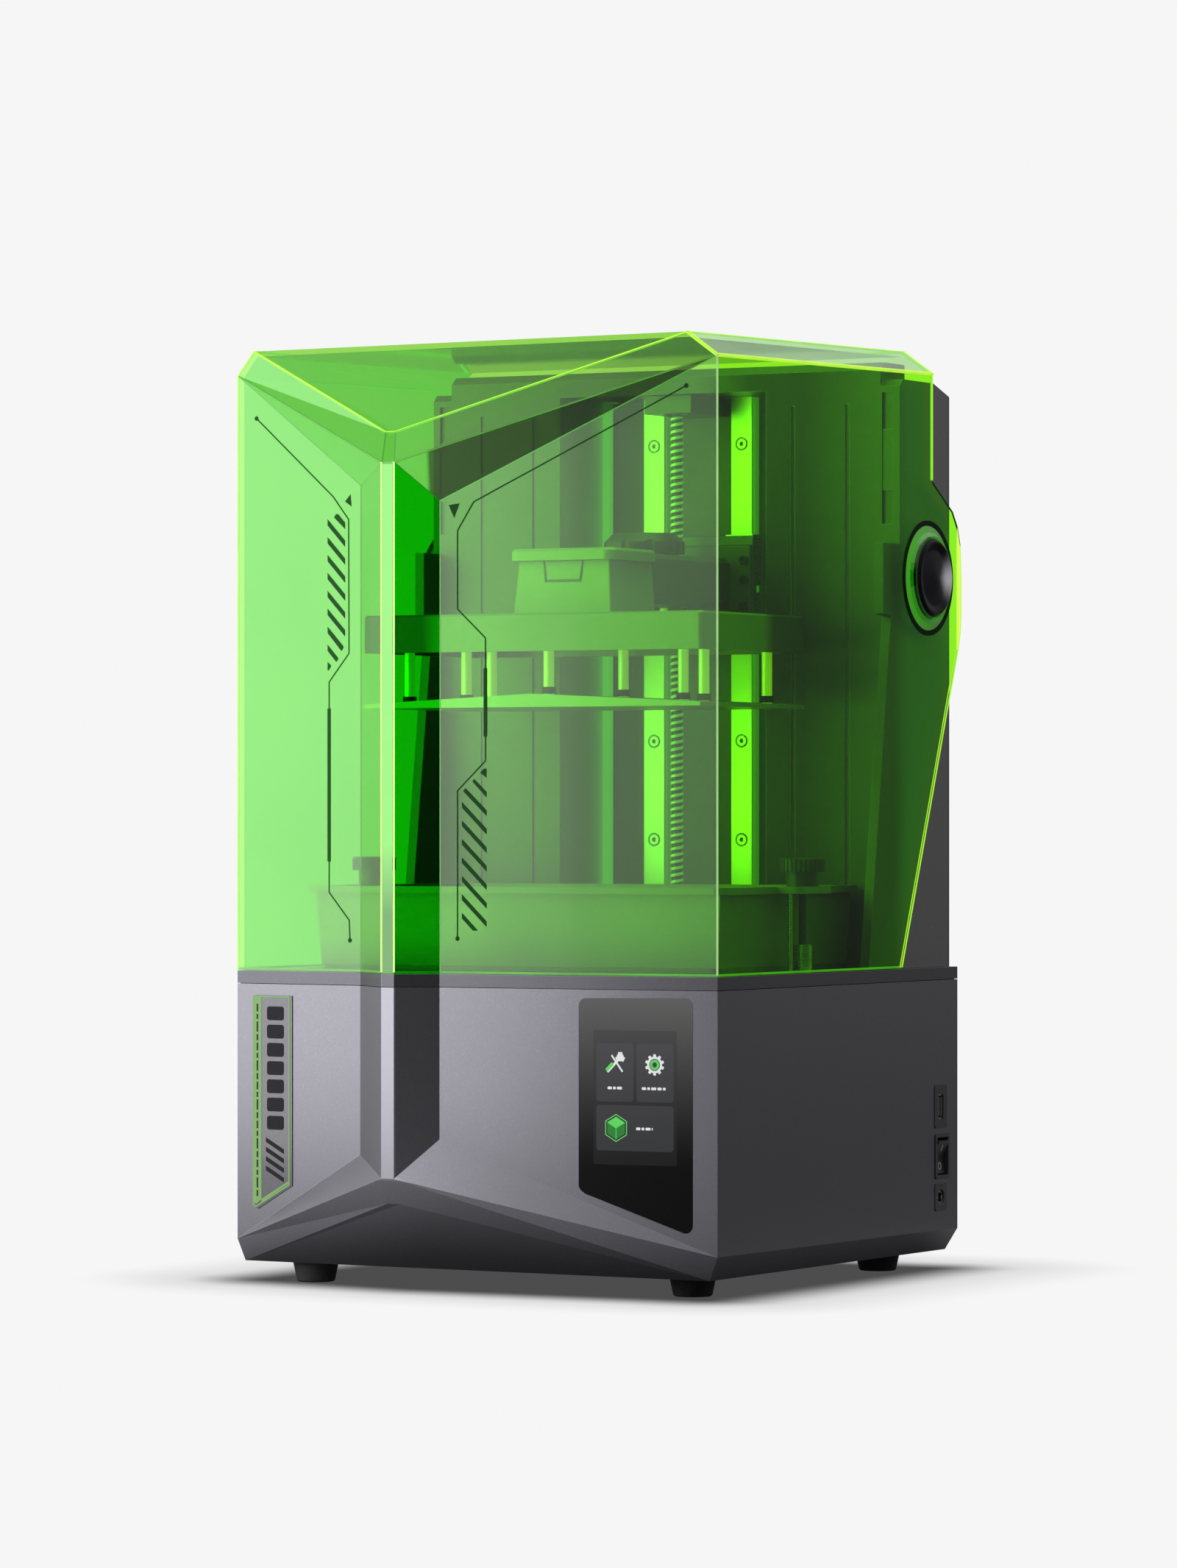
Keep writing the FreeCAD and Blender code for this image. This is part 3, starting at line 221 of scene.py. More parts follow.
# ---------------------------------------------------------------- metals and paints
def metallic_paint(name, color, rough, metallic=0.92, grain=1500.0, contrast=0.05, coat=0.0,
                   crest=None):
    """Powder paint with fine metal flake: each flake has its own brightness and height.

    crest: y where a painted highlight along the crest starts and where it is brightest.
    """
    mat = Material(name)
    flake = mat.cells(grain)
    fine = mat.noise(grain * 1.7)
    broad = mat.noise(9.0, detail=3.0)
    base = flake.mix(tone(color, 1.0 - contrast), tone(color, 1.0 + contrast))
    base = broad.span(0.35, 0.65, low=0.0, high=0.5).mix(base, tone(color, 0.95))
    sparks = flake.span(0.94, 1.0, low=0.0, high=contrast * 3.0)
    base = sparks.mix(base, tone(color, 1.7))
    # painted highlight: the paint is lighter along the crest
    if crest:
        base = mat.axis("Y").span(*crest).mix(base, tone(color, 1.45))
    return mat.paint(base, fine.ripple(rough - 0.06, rough + 0.06) + broad * 0.03, metallic,
                     bump=(fine + flake * 0.4).bump(strength=0.10, distance=0.00008),
                     coat=coat, coat_rough=0.25)


def tower_paint():
    """Fine paint with painted light: painted shade darkens the column's front to the right, and
    painted highlights lighten the front's left end and its channel wall.
    """
    color = (0.12, 0.12, 0.124)
    mat = Material("tower_paint")
    flake = mat.cells(1300.0)
    fine = mat.noise(2000.0)
    x = mat.axis("X")
    base = flake.mix(tone(color, 0.94), tone(color, 1.06))
    front = mat.normal.dot((0, -1, 0)).span(0.8, 0.95)
    wall = mat.normal.dot((1, 0, 0)).span(0.8, 0.95) * x.span(-0.080, -0.0745)
    wall = wall * x.span(-0.050, -0.060)
    # painted shade: the front darkens towards the right
    right = front * x.span(0.02, 0.06)
    painted_shade_tone = x.span(0.095, 0.150).mix(tone(color, 0.10), color)
    base = right.mix(base, painted_shade_tone)
    # painted highlight: the left end of the front is lighter
    base = (front * x.span(-0.06, -0.15)).mix(base, tone(color, 1.35))
    # painted light: the channel wall is much lighter
    base = wall.mix(base, tone(color, 4.6))
    return mat.paint(base, fine.ripple(0.41, 0.51), metallic=0.3,
                     bump=fine.bump(strength=0.08, distance=0.00008), coat_rough=0.25)


def thread_metal():
    """Rolled thread of the lead screw: painted highlight and a faint green painted glow on the
    crest, painted shade in the root.
    """
    mat = Material("rolled_thread_flanks")
    streaks = mat.noise(3000.0, detail=3.0, rough=0.6, vector=mat.scaled(1.0, 1.0, 0.2))
    x = mat.axis("X")
    y = mat.axis("Y") - SCREW_Y * MM
    crest = (x * x + y * y).span(1.06e-5, 1.50e-5)  # by the squared radius
    base = crest.mix((0.10, 0.105, 0.10), streaks.mix((0.78, 0.79, 0.80), (0.92, 0.93, 0.93)))
    return mat.paint(base, streaks.ripple(0.36, 0.46), metallic=0.4,
                     emit=crest.mix(BLACK, (0.08, 0.22, 0.07)))


def lit_side_rail():
    """Ground rail steel whose right-hand flank has a faint green painted glow."""
    mat = Material("ground_rail_lit")
    streaks = mat.noise(3000.0, detail=3.0, rough=0.6, vector=mat.scaled(1.0, 1.0, 0.015))
    broad = mat.noise(22.0)
    base = streaks.mix((0.836, 0.846, 0.846), (0.91, 0.92, 0.92))
    # painted glow on the right-hand flank
    flank = mat.normal.dot((1, 0, 0)).span(0.15, 0.45)
    return mat.paint(base, streaks.ripple(0.29, 0.35) + broad.ripple(-0.02, 0.02),
                     metallic=0.75, bump=streaks.bump(strength=0.04, distance=0.00008),
                     emit=flank.mix(BLACK, (0.05, 0.17, 0.04)))


def satin(name, color, rough, grain=2200.0, metallic=0.0, relief=0.18, streak=None,
          shade_ends=False, left_glow=None):
    """Satin surface with fine grain, drawn out along the smallest scale of streak."""
    mat = Material(name)
    fine = mat.noise(grain, detail=3.0)
    broad = mat.noise(14.0, detail=3.0)
    if streak:
        drawn = mat.noise(grain, vector=mat.scaled(*streak))
        fine = mat.math("MULTIPLY_ADD", drawn, 0.7, fine * 0.3)
    base = fine.mix(tone(color, 0.75), tone(color, 1.35))
    base = broad.span(0.4, 0.7, low=0.0, high=0.4).mix(base, tone(color, 1.25))
    if shade_ends:  # the left end, and the rear of the right end
        shaded = tone(color, 0.24)
        base = mat.axis("X").span(-0.072, -0.058).mix(shaded, base)
        rear_right = mat.axis("Y").span(0.010, 0.022) * mat.axis("X").span(0.08, 0.10)
        base = rear_right.mix(base, shaded)
    gloss = fine.ripple(rough - 0.07, rough + 0.07)
    emit = None
    # painted glow: the left part emits the left_glow colour
    if left_glow:
        emit = mat.axis("X").span(-0.02, 0.02).mix(left_glow, BLACK)
    else:
        gloss = gloss + broad.ripple(-0.03, 0.04)
    return mat.paint(base, gloss, metallic, bump=fine.bump(relief, distance=0.0001),
                     coat_rough=0.15, emit=emit)


def brushed(name, color, rough, streak, vary=0.18, scatter=0.09, metallic=1.0, tint=None,
            emit=None):
    """Ground or drawn metal, streaks along the axis whose scale is smallest."""
    mat = Material(name)
    streaks = mat.noise(3000.0, detail=3.0, rough=0.6, vector=mat.scaled(*streak))
    broad = mat.noise(22.0)
    base = streaks.mix(tone(color, 1.0 - vary), tone(color, 1.0 + vary * 0.7))
    if tint:
        base = broad.span(0.45, 0.7, low=0.0, high=0.5).mix(base, tint)
    gloss = streaks.ripple(rough - scatter, rough + scatter) + broad.ripple(-0.02, 0.02)
    relief = streaks.bump(strength=0.12 * scatter / 0.09, distance=0.00008)
    return mat.paint(base, gloss, metallic, bump=relief, emit=emit)


def blasted_plate():
    color = (0.42, 0.43, 0.44)
    mat = Material("build_plate_blasted")
    pits = mat.noise(1800.0, detail=4.0, rough=0.65)
    broad = mat.noise(18.0, detail=3.0)
    base = pits.mix(tone(color, 0.8), tone(color, 1.15))
    base = broad.span(0.4, 0.7, low=0.0, high=0.35).mix(base, tone(color, 0.85))
    return mat.paint(base, pits.ripple(0.32, 0.52), metallic=0.6,
                     bump=pits.bump(strength=0.35, distance=0.00015))


# ---------------------------------------------------------------- plastics, glass and lights
def rubber(name, color):
    mat = Material(name)
    fine = mat.noise(900.0, detail=4.0, rough=0.7)
    dust = mat.noise(60.0, detail=3.0).span(0.5, 0.8, low=0.0, high=0.35)
    return mat.paint(dust.mix(color, (0.07, 0.07, 0.068)), fine.ripple(0.65, 0.85),
                     bump=fine.bump(strength=0.3, distance=0.0002))


def black_glass(name, low, high):
    """Black glass with a painted reflection: a soft sheen that fades from colour high down to
    colour low.
    """
    mat = Material(name)
    speckle = mat.noise(900.0)
    painted_reflection = mat.axis("Z").span(0.072, 0.172) ** 1.6
    emit = speckle.ripple(0.0, 0.06).mix(painted_reflection.mix(low, high), BLACK)
    return mat.paint((0.004, 0.004, 0.004), speckle.ripple(0.22, 0.3), emit=emit,
                     specular=0.05)


def lcd_plastic():
    color = (0.012, 0.012, 0.016)
    mat = Material("mask_lcd_black")
    wave = mat.noise(160.0)
    smear = mat.noise(35.0, detail=4.0, rough=0.6)
    return mat.paint(smear.mix(tone(color, 0.85), tone(color, 1.2)),
                     smear.span(0.35, 0.7, low=0.084, high=0.192),
                     bump=wave.bump(strength=0.02, distance=0.0002),
                     coat=0.6, coat_rough=0.05)


def glow(name, color, strength, rough=0.3, vary=0.25, scale=60.0):
    """Emissive colour: painted glow for light caught by the lid's acrylic edges, or a lit
    symbol.
    """
    mat = Material(name)
    cloud = mat.noise(scale, detail=3.0)
    emit = cloud.mix(tone(color, 1.0 - vary), tone(color, 1.0 + vary * 0.6))
    return mat.paint(tone(color, 0.15), cloud.ripple(rough - 0.05, rough + 0.1),
                     emit=emit, strength=strength, specular=0.2)


def circuit_board():
    mat = Material("solder_mask")
    tracks = mat.field("TexBrick", "Color", {
        "Vector": mat.scaled(90.0, 90.0, 90.0), "Color1": (0.012, 0.11, 0.045),
        "Color2": (0.016, 0.14, 0.06), "Mortar": (0.03, 0.22, 0.10), "Mortar Size": 0.012})
    pads = mat.cells(420.0).span(0.9, 0.92)
    fine = mat.noise(500.0)
    return mat.paint(pads.mix(tracks, (0.62, 0.60, 0.52)), fine.ripple(0.25, 0.4),
                     metallic=pads * 0.8,
                     bump=(pads + fine).bump(strength=0.15, distance=0.0001),
                     coat=0.4, coat_rough=0.15)


def clear_plastic(name, color, haze=0.12):
    mat = Material(name)
    clear = mat.field("BsdfTransparent", 0, {"Color": color})
    cloud = mat.noise(40.0, detail=3.0)
    skin = mat.principled(tone(color, 0.8), cloud.ripple(0.05, 0.16),
                          bump=cloud.bump(strength=0.05, distance=0.0002))
    fresnel = mat.field("Fresnel", 0, {"IOR": 1.45})
    return mat.finish(
        mat.shade(fresnel * 0.8 + cloud.ripple(haze * 0.6, haze * 1.4), clear, skin))


def ink(name, color):
    mat = Material(name)
    fine = mat.noise(700.0, detail=3.0)
    return mat.paint(fine.mix(tone(color, 0.8), tone(color, 1.2)), fine.ripple(0.6, 0.8),
                     bump=fine.bump(strength=0.05, distance=0.00005), specular=0.1)


def badge_plate(paint_color):
    """Dark flake ground of the badge."""
    mat = Material("badge_plate")
    flake = mat.cells(1300.0)
    return mat.paint(flake.mix(tone(paint_color, 0.42), tone(paint_color, 0.5)),
                     mat.noise(900.0).ripple(0.3, 0.42), metallic=0.4,
                     bump=flake.bump(strength=0.08, distance=0.0001), coat=0.4)


def badge_ink():
    mat = Material("badge_dark")
    fine = mat.noise(900.0)
    return mat.paint(fine.mix((0.010, 0.010, 0.013), (0.018, 0.018, 0.022)), 0.75,
                     specular=0.08)


def crest_painted_light():
    """Pale painted light on the flat of the crest, darker at its foot."""
    mat = Material("crest_painted_light")
    cloud = mat.noise(40.0, detail=3.0)
    color = mat.axis("Z").span(0.215, 0.255).mix((0.20, 0.40, 0.17), (0.36, 0.92, 0.24))
    return mat.paint((0.02, 0.05, 0.02), cloud.ripple(0.3, 0.4),
                     emit=cloud.ripple(0.0, 0.08).mix(color, (0.2, 0.6, 0.1)),
                     strength=0.95, specular=0.1)


def hinge_boss_green():
    """Green dish round the hinge cap, with painted glow that is stronger towards the front."""
    mat = Material("hinge_boss_green")
    y = mat.axis("Y") - HINGE[0] * MM
    cloud = mat.noise(60.0, detail=3.0)
    color = y.span(-0.030, 0.022, smooth=True).mix((0.045, 0.30, 0.010), (0.040, 0.12, 0.030))
    color = cloud.span(0.35, 0.7, low=0.0, high=0.2).mix(color, (0.06, 0.22, 0.03))
    return mat.paint((0.02, 0.12, 0.01), cloud.ripple(0.3, 0.4), emit=color, strength=0.9,
                     specular=0.15)


def hinge_cap_black():
    """Turned black cap with fine rings; one wedge of painted highlight towards the rear stands
    in for the light the rings throw.
    """
    wedge_rise = 0.0        # offset of the wedge's middle line
    ring_frequency = 9000.0  # radians for each metre of radius
    mat = Material("gloss_black_cap.001")
    y = mat.axis("Y") - HINGE[0] * MM
    z = mat.axis("Z") - HINGE[1] * MM
    angle = mat.math("ABSOLUTE", mat.math("ARCTAN2", z + wedge_rise, y))
    radius = mat.math("SQRT", y * y + z * z)
    rings = mat.math("SINE", radius * ring_frequency)
    highlight_wedge = angle.span(0.0, 1.15, low=1.0, high=0.0, smooth=True) ** 2.2
    highlight_wedge = highlight_wedge * radius.span(0.0015, 0.020, smooth=True)
    highlight_wedge = highlight_wedge * rings.span(-1.0, 1.0, low=0.85, high=1.0)
    return mat.paint((0.004, 0.004, 0.005), 0.4,
                     bump=rings.bump(strength=0.03, distance=0.00005),
                     emit=highlight_wedge.mix((0.0015, 0.0012, 0.002), (0.34, 0.34, 0.36)),
                     specular=0.05)


# ---------------------------------------------------------------- the tinted lid
# colour let through: main walls, dark right face, side wall, roof, and rays from no camera; the
# tints of the dark right face, side wall and roof are painted shade and light
LID_TINT = (0.30, 0.86, 0.045)
LID_TINT_DARK = (0.006, 0.56, 0.002)
LID_TINT_SIDE = (0.27, 0.92, 0.004)
LID_TINT_UP = (0.42, 0.92, 0.22)
LID_TINT_LIGHT = (0.50, 0.99, 0.33)
LID_HAZE = 0.115
LID_HAZE_COLOR = (0.58, 1.0, 0.48)
LID_GLOSS = 1.12
WHITE = (1.0, 1.0, 1.0)


def tinted_acrylic():
    mat = Material("tinted_acrylic")
    back = mat.field("NewGeometry", "Backfacing")
    rays = mat.add("LightPath").outputs
    camera_ray = Field(mat, rays["Is Camera Ray"])
    shadow_ray = Field(mat, rays["Is Shadow Ray"])

    def facing(direction, start, stop):
        """1 where the outward normal points along direction."""
        return mat.normal.dot(direction).span(start, stop, smooth=True)

    # masks of the facets
    side = facing((1, 0, 0), 0.90, 0.99) * mat.axis("X").span(0.10, 0.12)
    dark = facing((0.543, -0.840, 0.0), 0.955, 0.995)
    roof = facing((0, 0, 1), 0.5, 0.95)
    ridge = facing((-0.664, -0.747, 0.0), 0.955, 0.99)
    under = facing((-0.47, -0.74, -0.49), 0.955, 0.99)
    notch = facing((0.19, -0.90, -0.40), 0.955, 0.99)
    roof_right = facing((0.57, -0.02, 0.82), 0.975, 0.995)
    normal_x = mat.normal.dot((1, 0, 0))
    normal_z = mat.normal.dot((0, 0, 1))
    left = normal_x.span(-0.04, -0.12, smooth=True)
    roof_inside = normal_z.span(-0.9, -0.98, smooth=True)
    brow = normal_z.span(0.13, 0.22, smooth=True) * normal_x.span(-0.12, -0.085, smooth=True)
    brow = brow * normal_x.span(0.3, 0.1)
    upper_brow = brow * normal_z.span(0.38, 0.43)
    lower_brow = brow * normal_z.span(0.38, 0.30)
    # right of a line that leans with height
    tip = (mat.axis("X") - (mat.axis("Z") - 0.455) * 0.188).span(-0.0196, -0.0172)

    # colour let through one wall, with slow casting variation
    cloud = mat.noise(7.0)
    tint = cloud.ripple(0.0, 1.0).mix(LID_TINT, tone(LID_TINT, 0.96))
    # painted light and shade: each facet gets its own tint, darker or lighter for how the light
    # falls on it
    for facet, color in (
        (ridge, (0.25, 0.75, 0.03)),
        (under, (0.27, 0.81, 0.035)),
        (upper_brow, (0.27, 0.68, 0.04)),
        (lower_brow, (0.25, 0.62, 0.035)),
        (notch, tip.mix((0.26, 0.74, 0.035), (0.08, 0.15, 0.02))),
        (dark, LID_TINT_DARK),
        (side, LID_TINT_SIDE),
        (roof, LID_TINT_UP),
        (roof_right, (0.37, 0.76, 0.23)),
    ):
        tint = facet.mix(tint, color)
    tint = camera_ray.mix(LID_TINT_LIGHT, tint)
    clear = mat.field("BsdfTransparent", 0, {"Color": back.mix(tint, WHITE)})

    # cast-in haze, weaker on some facets as painted shade
    haze = cloud.ripple(0.0, 1.0).mix(LID_HAZE_COLOR, tone(LID_HAZE_COLOR, 0.94))
    body = mat.shade(0.25, mat.field("BsdfDiffuse", 0, {"Color": haze}),
                     mat.field("BsdfTranslucent", 0, {"Color": haze}))
    # painted shade: the share of haze and gloss each facet keeps, for how the light falls on it
    keep = (1.0 - dark * 0.97) * (1.0 - side * 0.74)
    keep = keep * (1.0 - back)
    keep = keep * left.span(0.0, 1.0, low=0.80, high=1.0)
    keep = keep * (1.0 - ridge * 0.52)
    keep = keep * (1.0 - notch * mat.math("MULTIPLY_ADD", tip, 0.47, 0.15))
    keep = keep * (1.0 - under * 0.38)
    keep = keep * (1.0 - brow * 0.45)
    amount = (keep * LID_HAZE) * camera_ray.span(0.0, 1.0, low=0.25, high=1.0)
    shader = mat.shade(amount * (1.0 - roof_inside), clear, body)

    # polished skin: a broad soft share and a thin sharp share of the reflection; the
    # underside of the roof is seen almost edge on and acts as a plain mirror
    fresnel = mat.field("Fresnel", 0, {"IOR": 1.49})
    for rough, share, roof_gain in ((0.34, 0.9, 0.0), (0.06, 0.1, 1.75)):
        glossy = mat.field("BsdfGlossy", 0, {
            "Roughness": mat.noise(30.0, detail=3.0).ripple(rough * 0.9, rough * 1.1),
            "Color": (0.94, 1.0, 0.91)})
        amount = (fresnel * keep) * (1.0 - shadow_ray)
        amount = amount * roof_inside.span(0.0, 1.0, low=LID_GLOSS * share, high=roof_gain)
        shader = mat.shade(mat.math("MINIMUM", amount, 0.93), shader, glossy)

    # painted glow on the side wall towards its rear edge, standing in for light carried along
    # the wall
    amount = side * camera_ray * mat.axis("Y").span(0.075, 0.10, 0.0, 0.042, smooth=True)
    painted_rear_glow = mat.field("Emission", 0,
                      {"Color": (0.10, 1.0, 0.06), "Strength": amount * (1.0 - back)})
    return mat.finish(mat.field("AddShader", 0, {0: shader, 1: painted_rear_glow}))


# ---------------------------------------------------------------- materials of the CAD pieces
BASE_COLOR = (0.145, 0.142, 0.160)
# noise scales that draw the grain out along one axis, or in rings round the vertical
ALONG_Z = (1.0, 1.0, 0.02)
ALONG_Y = (1.0, 0.05, 1.0)
ALONG_X = (0.05, 1.0, 1.0)
TURNED = (0.03, 0.03, 1.0)
MATERIALS = {
    # the base's paint gets a painted highlight along the crest
    "base": metallic_paint("base_flake_paint", BASE_COLOR, 0.34, crest=(-0.1640, -0.1646)),
    # bevel faces of the base and deck: lighter paint as a painted edge highlight
    "base_edge_highlight": metallic_paint("base_edge_paint", (0.42, 0.415, 0.44), 0.30, contrast=0.04),
    "deck": metallic_paint("deck_flake_paint", (0.085, 0.083, 0.094), 0.36),
    "tower": tower_paint(),
    # bevel faces of the column: lighter paint as a painted edge highlight
    "tower_edge_highlight": metallic_paint("tower_edge_paint", (0.17, 0.17, 0.18), 0.36, metallic=0.4,
                                 grain=1300.0, contrast=0.10, coat=0.15),
    "backplate": satin("backplate_black", (0.12, 0.12, 0.122), 0.5),
    "black_alu": satin("black_anodised", (0.11, 0.11, 0.114), 0.42, metallic=0.4,
                       streak=ALONG_Y),
    "hub": satin("cast_grey", (0.34, 0.345, 0.35), 0.45, metallic=0.3, relief=0.1),
    "vat": satin("vat_anodised", (0.22, 0.22, 0.225), 0.40, metallic=0.4, streak=ALONG_X),
    "frame_alu": satin("platform_anodised", (0.27, 0.27, 0.275), 0.42, metallic=0.3,
                       streak=ALONG_X, shade_ends=True),
    "plate": blasted_plate(),
    "rail": brushed("ground_rail", (0.88, 0.89, 0.89), 0.32, (1.0, 1.0, 0.015), vary=0.05,
                    scatter=0.03, metallic=0.75),
    "trim": brushed("drawn_trim", (0.82, 0.83, 0.84), 0.30, ALONG_Z, vary=0.06,
                    scatter=0.04),
    # green emission on the trims is painted glow
    "trim_lit": brushed("translucent_trim", (0.7, 0.75, 0.7), 0.35, ALONG_Z, vary=0.06,
                        scatter=0.04, metallic=0.2, emit=(0.06, 0.34, 0.05)),
    "rail_lit": lit_side_rail(),
    # the posts' emission is a painted highlight
    "post": brushed("turned_post", (0.90, 0.91, 0.90), 0.34, (1.0, 1.0, 0.03), vary=0.05,
                    scatter=0.03, metallic=0.6, emit=(0.34, 0.37, 0.30)),
    # green emission on the screw is painted glow
    "screw_steel": brushed("rolled_thread", (0.86, 0.87, 0.88), 0.42, TURNED, vary=0.08,
                           scatter=0.05, metallic=0.4, emit=(0.03, 0.10, 0.03)),
    # left_glow: painted green glow on the left part of the brackets
    "bracket": satin("bracket_grey", (0.22, 0.22, 0.225), 0.5, metallic=0.2,
                     left_glow=(0.10, 0.72, 0.05)),
    "steel": brushed("turned_steel", (0.62, 0.63, 0.65), 0.25, TURNED),
    "bright": brushed("plated_steel", (0.75, 0.75, 0.76), 0.14, ALONG_Y),
    "brass": brushed("turned_brass", (0.72, 0.52, 0.22), 0.25, TURNED,
                     tint=(0.55, 0.36, 0.14)),
    "heatsink": brushed("extruded_heatsink", (0.55, 0.56, 0.58), 0.35, (1.0, 0.02, 1.0)),
    "screw": satin("black_oxide", (0.05, 0.05, 0.052), 0.32, metallic=0.85, relief=0.1),
    "plastic": satin("moulded_black", (0.022, 0.022, 0.024), 0.5, grain=1500.0, relief=0.3),
    "fan": satin("fan_plastic", (0.016, 0.016, 0.017), 0.42, grain=1200.0, relief=0.15),
    "motor": satin("motor_black", (0.02, 0.02, 0.021), 0.4, grain=1800.0, metallic=0.3),
    "pan": satin("floor_pan_black", (0.035, 0.035, 0.036), 0.5, grain=1000.0, relief=0.3),
    "knob": satin("knurled_knob", (0.045, 0.045, 0.047), 0.38, grain=1600.0, metallic=0.4),
    "feet": rubber("foot_rubber", (0.02, 0.02, 0.02)),
    "gasket": rubber("gasket_rubber", (0.012, 0.012, 0.012)),
    # low and high: the ends of the panel's painted reflection
    "panel": black_glass("panel_glass", low=(0.0005, 0.0005, 0.0006),
                         high=(0.115, 0.115, 0.114)),
    "cap": hinge_cap_black(),
    "rocker": satin("rocker_black", (0.010, 0.010, 0.011), 0.42, grain=900.0, relief=0.05),
    "lcd": lcd_plastic(),
    "pcb": circuit_board(),
    "lid": tinted_acrylic(),
    "glass": clear_plastic("cover_glass", (0.86, 0.9, 0.9)),
    "film": clear_plastic("release_film", (0.92, 0.93, 0.92), haze=0.2),
    "lens": clear_plastic("lens_acrylic", (0.9, 0.93, 0.95), haze=0.18),
    "badge": badge_plate(BASE_COLOR),
}
# the bevel faces of these pieces take the lighter paint, a painted edge highlight
EDGE_MATERIALS = {"base": "base_edge_highlight", "deck": "base_edge_highlight", "tower": "tower_edge_highlight"}

# node: material, bevel width in millimetres
LOOKS = {
    "base_shell": ("base", 0.9), "deck_plate": ("deck", 0.6), "floor_pan": ("pan", 0.3),
    "casing_screws": ("screw", 0), "rubber_feet": ("feet", 0.5), "seam_gasket": ("gasket", 0),
    "mask_lcd": ("lcd", 0.2), "screen_glass": ("glass", 0), "light_housing": ("plastic", 0),
    "collimating_lens": ("lens", 0), "led_array": ("pcb", 0), "led_heatsink": ("heatsink", 0),
    "led_fan_frame": ("fan", 0.4), "led_fan_rotor": ("fan", 0),
    "rear_fan_frame": ("fan", 0.4), "rear_fan_rotor": ("fan", 0), "main_board": ("pcb", 0),
    "touchscreen_glass": ("panel", 0.35), "touchscreen_module": ("plastic", 0),
    "side_badge": ("badge", 0.15), "port_bezels": ("plastic", 0.25),
    "usb_port": ("bright", 0), "switch_housing": ("plastic", 0.4),
    "power_rocker": ("rocker", 0.5), "dc_jack": ("bright", 0),
    "tower_shell": ("tower", 0.8), "tower_back_cover": ("tower", 0.4),
    "z_backplate": ("backplate", 0), "linear_rails": ("rail_lit", 0.35),
    "rail_screws": ("rail", 0), "channel_trims": ("trim_lit", 0.3),
    "screw_top_block": ("black_alu", 0.6), "screw_top_bearing": ("bright", 0),
    "z_limit_sensor": ("plastic", 0.3), "z_motor": ("motor", 0.5),
    "hinge_pins": ("steel", 0), "hinge_brackets": ("bracket", 0.5),
    "resin_vat": ("vat", 0.5), "release_film": ("film", 0), "film_frame": ("black_alu", 0.2),
    "vat_bosses": ("steel", 0), "flex_coupling": ("trim", 0), "motor_shaft": ("steel", 0),
    "lead_screw": ("screw_steel", 0), "rail_blocks": ("steel", 0.4),
    "carriage_plate": ("black_alu", 0.6), "carriage_screws": ("screw", 0),
    "carriage_arm": ("black_alu", 0.7), "screw_nut": ("brass", 0),
    "platform_hub": ("hub", 0.6), "hub_cap": ("hub", 0.5),
    "platform_frame": ("frame_alu", 0.6), "plate_posts": ("post", 0),
    "post_collars": ("gasket", 0), "build_plate": ("plate", 0.3),
    "platform_knob": ("knob", 0.3), "vat_knob_left": ("knob", 0.2),
    "vat_knob_right": ("knob", 0.2), "lid_shell": ("lid", 0), "hinge_caps": ("cap", 0.3),
}
FACETED = ("base_shell", "lid_shell", "deck_plate", "seam_gasket", "tower_shell",
           "tower_back_cover", "side_badge", "floor_pan", "platform_hub", "build_plate",
           "resin_vat")


def smooth_group(name, limit):
    """Drop imported normals, then shade smooth below the limit angle in degrees."""
    group = bpy.data.node_groups.new(name, "GeometryNodeTree")
    for direction in ("INPUT", "OUTPUT"):
        group.interface.new_socket("Geometry", in_out=direction,
                                   socket_type="NodeSocketGeometry")
    new, link = group.nodes.new, group.links.new
    start = new("NodeGroupInput")
    end = new("NodeGroupOutput")
    remove = new("GeometryNodeRemoveAttribute")
    remove.inputs["Name"].default_value = "custom_normal"
    faces = new("GeometryNodeSetShadeSmooth")
    faces.domain = "FACE"
    faces.inputs["Shade Smooth"].default_value = True
    angle = new("GeometryNodeInputMeshEdgeAngle")
    sharp = new("FunctionNodeCompare")
    sharp.data_type = "FLOAT"
    sharp.operation = "GREATER_THAN"
    sharp.inputs[1].default_value = math.radians(limit)
    edges = new("GeometryNodeSetShadeSmooth")
    edges.domain = "EDGE"
    edges.inputs["Shade Smooth"].default_value = False
    link(angle.outputs["Unsigned Angle"], sharp.inputs[0])
    link(start.outputs[0], remove.inputs["Geometry"])
    link(remove.outputs[0], faces.inputs["Geometry"])
    link(faces.outputs[0], edges.inputs["Geometry"])
    link(sharp.outputs[0], edges.inputs["Selection"])
    link(edges.outputs[0], end.inputs[0])
    return group


SMOOTH = smooth_group("smooth_28", limit=28.0)
CRISP = smooth_group("smooth_4", limit=4.0)


def dress(node, material, bevel_width):
    """Give a CAD piece its material, small bevels and shading."""
    piece = NODES[node]
    edge = EDGE_MATERIALS.get(material)
    piece.data.materials.clear()
    piece.data.materials.append(MATERIALS[material])
    if edge:
        piece.data.materials.append(MATERIALS[edge])
    weld = piece.modifiers.new("weld", "WELD")
    weld.merge_threshold = 2e-6
    if bevel_width:
        bevel = piece.modifiers.new("edge", "BEVEL")
        bevel.width = bevel_width * MM
        bevel.segments = 2
        bevel.limit_method = "ANGLE"
        bevel.angle_limit = math.radians(30)
        # the bevel faces take slot 1, the lighter paint: a painted edge highlight
        if edge:
            bevel.material = 1
    smooth = piece.modifiers.new("smooth", "NODES")
    smooth.node_group = CRISP if node in FACETED else SMOOTH
    if bevel_width:
        flat = piece.modifiers.new("flat", "WEIGHTED_NORMAL")
        flat.keep_sharp = True
        flat.weight = 80


for node_name, (material_key, width) in LOOKS.items():
    dress(node_name, material_key, width)


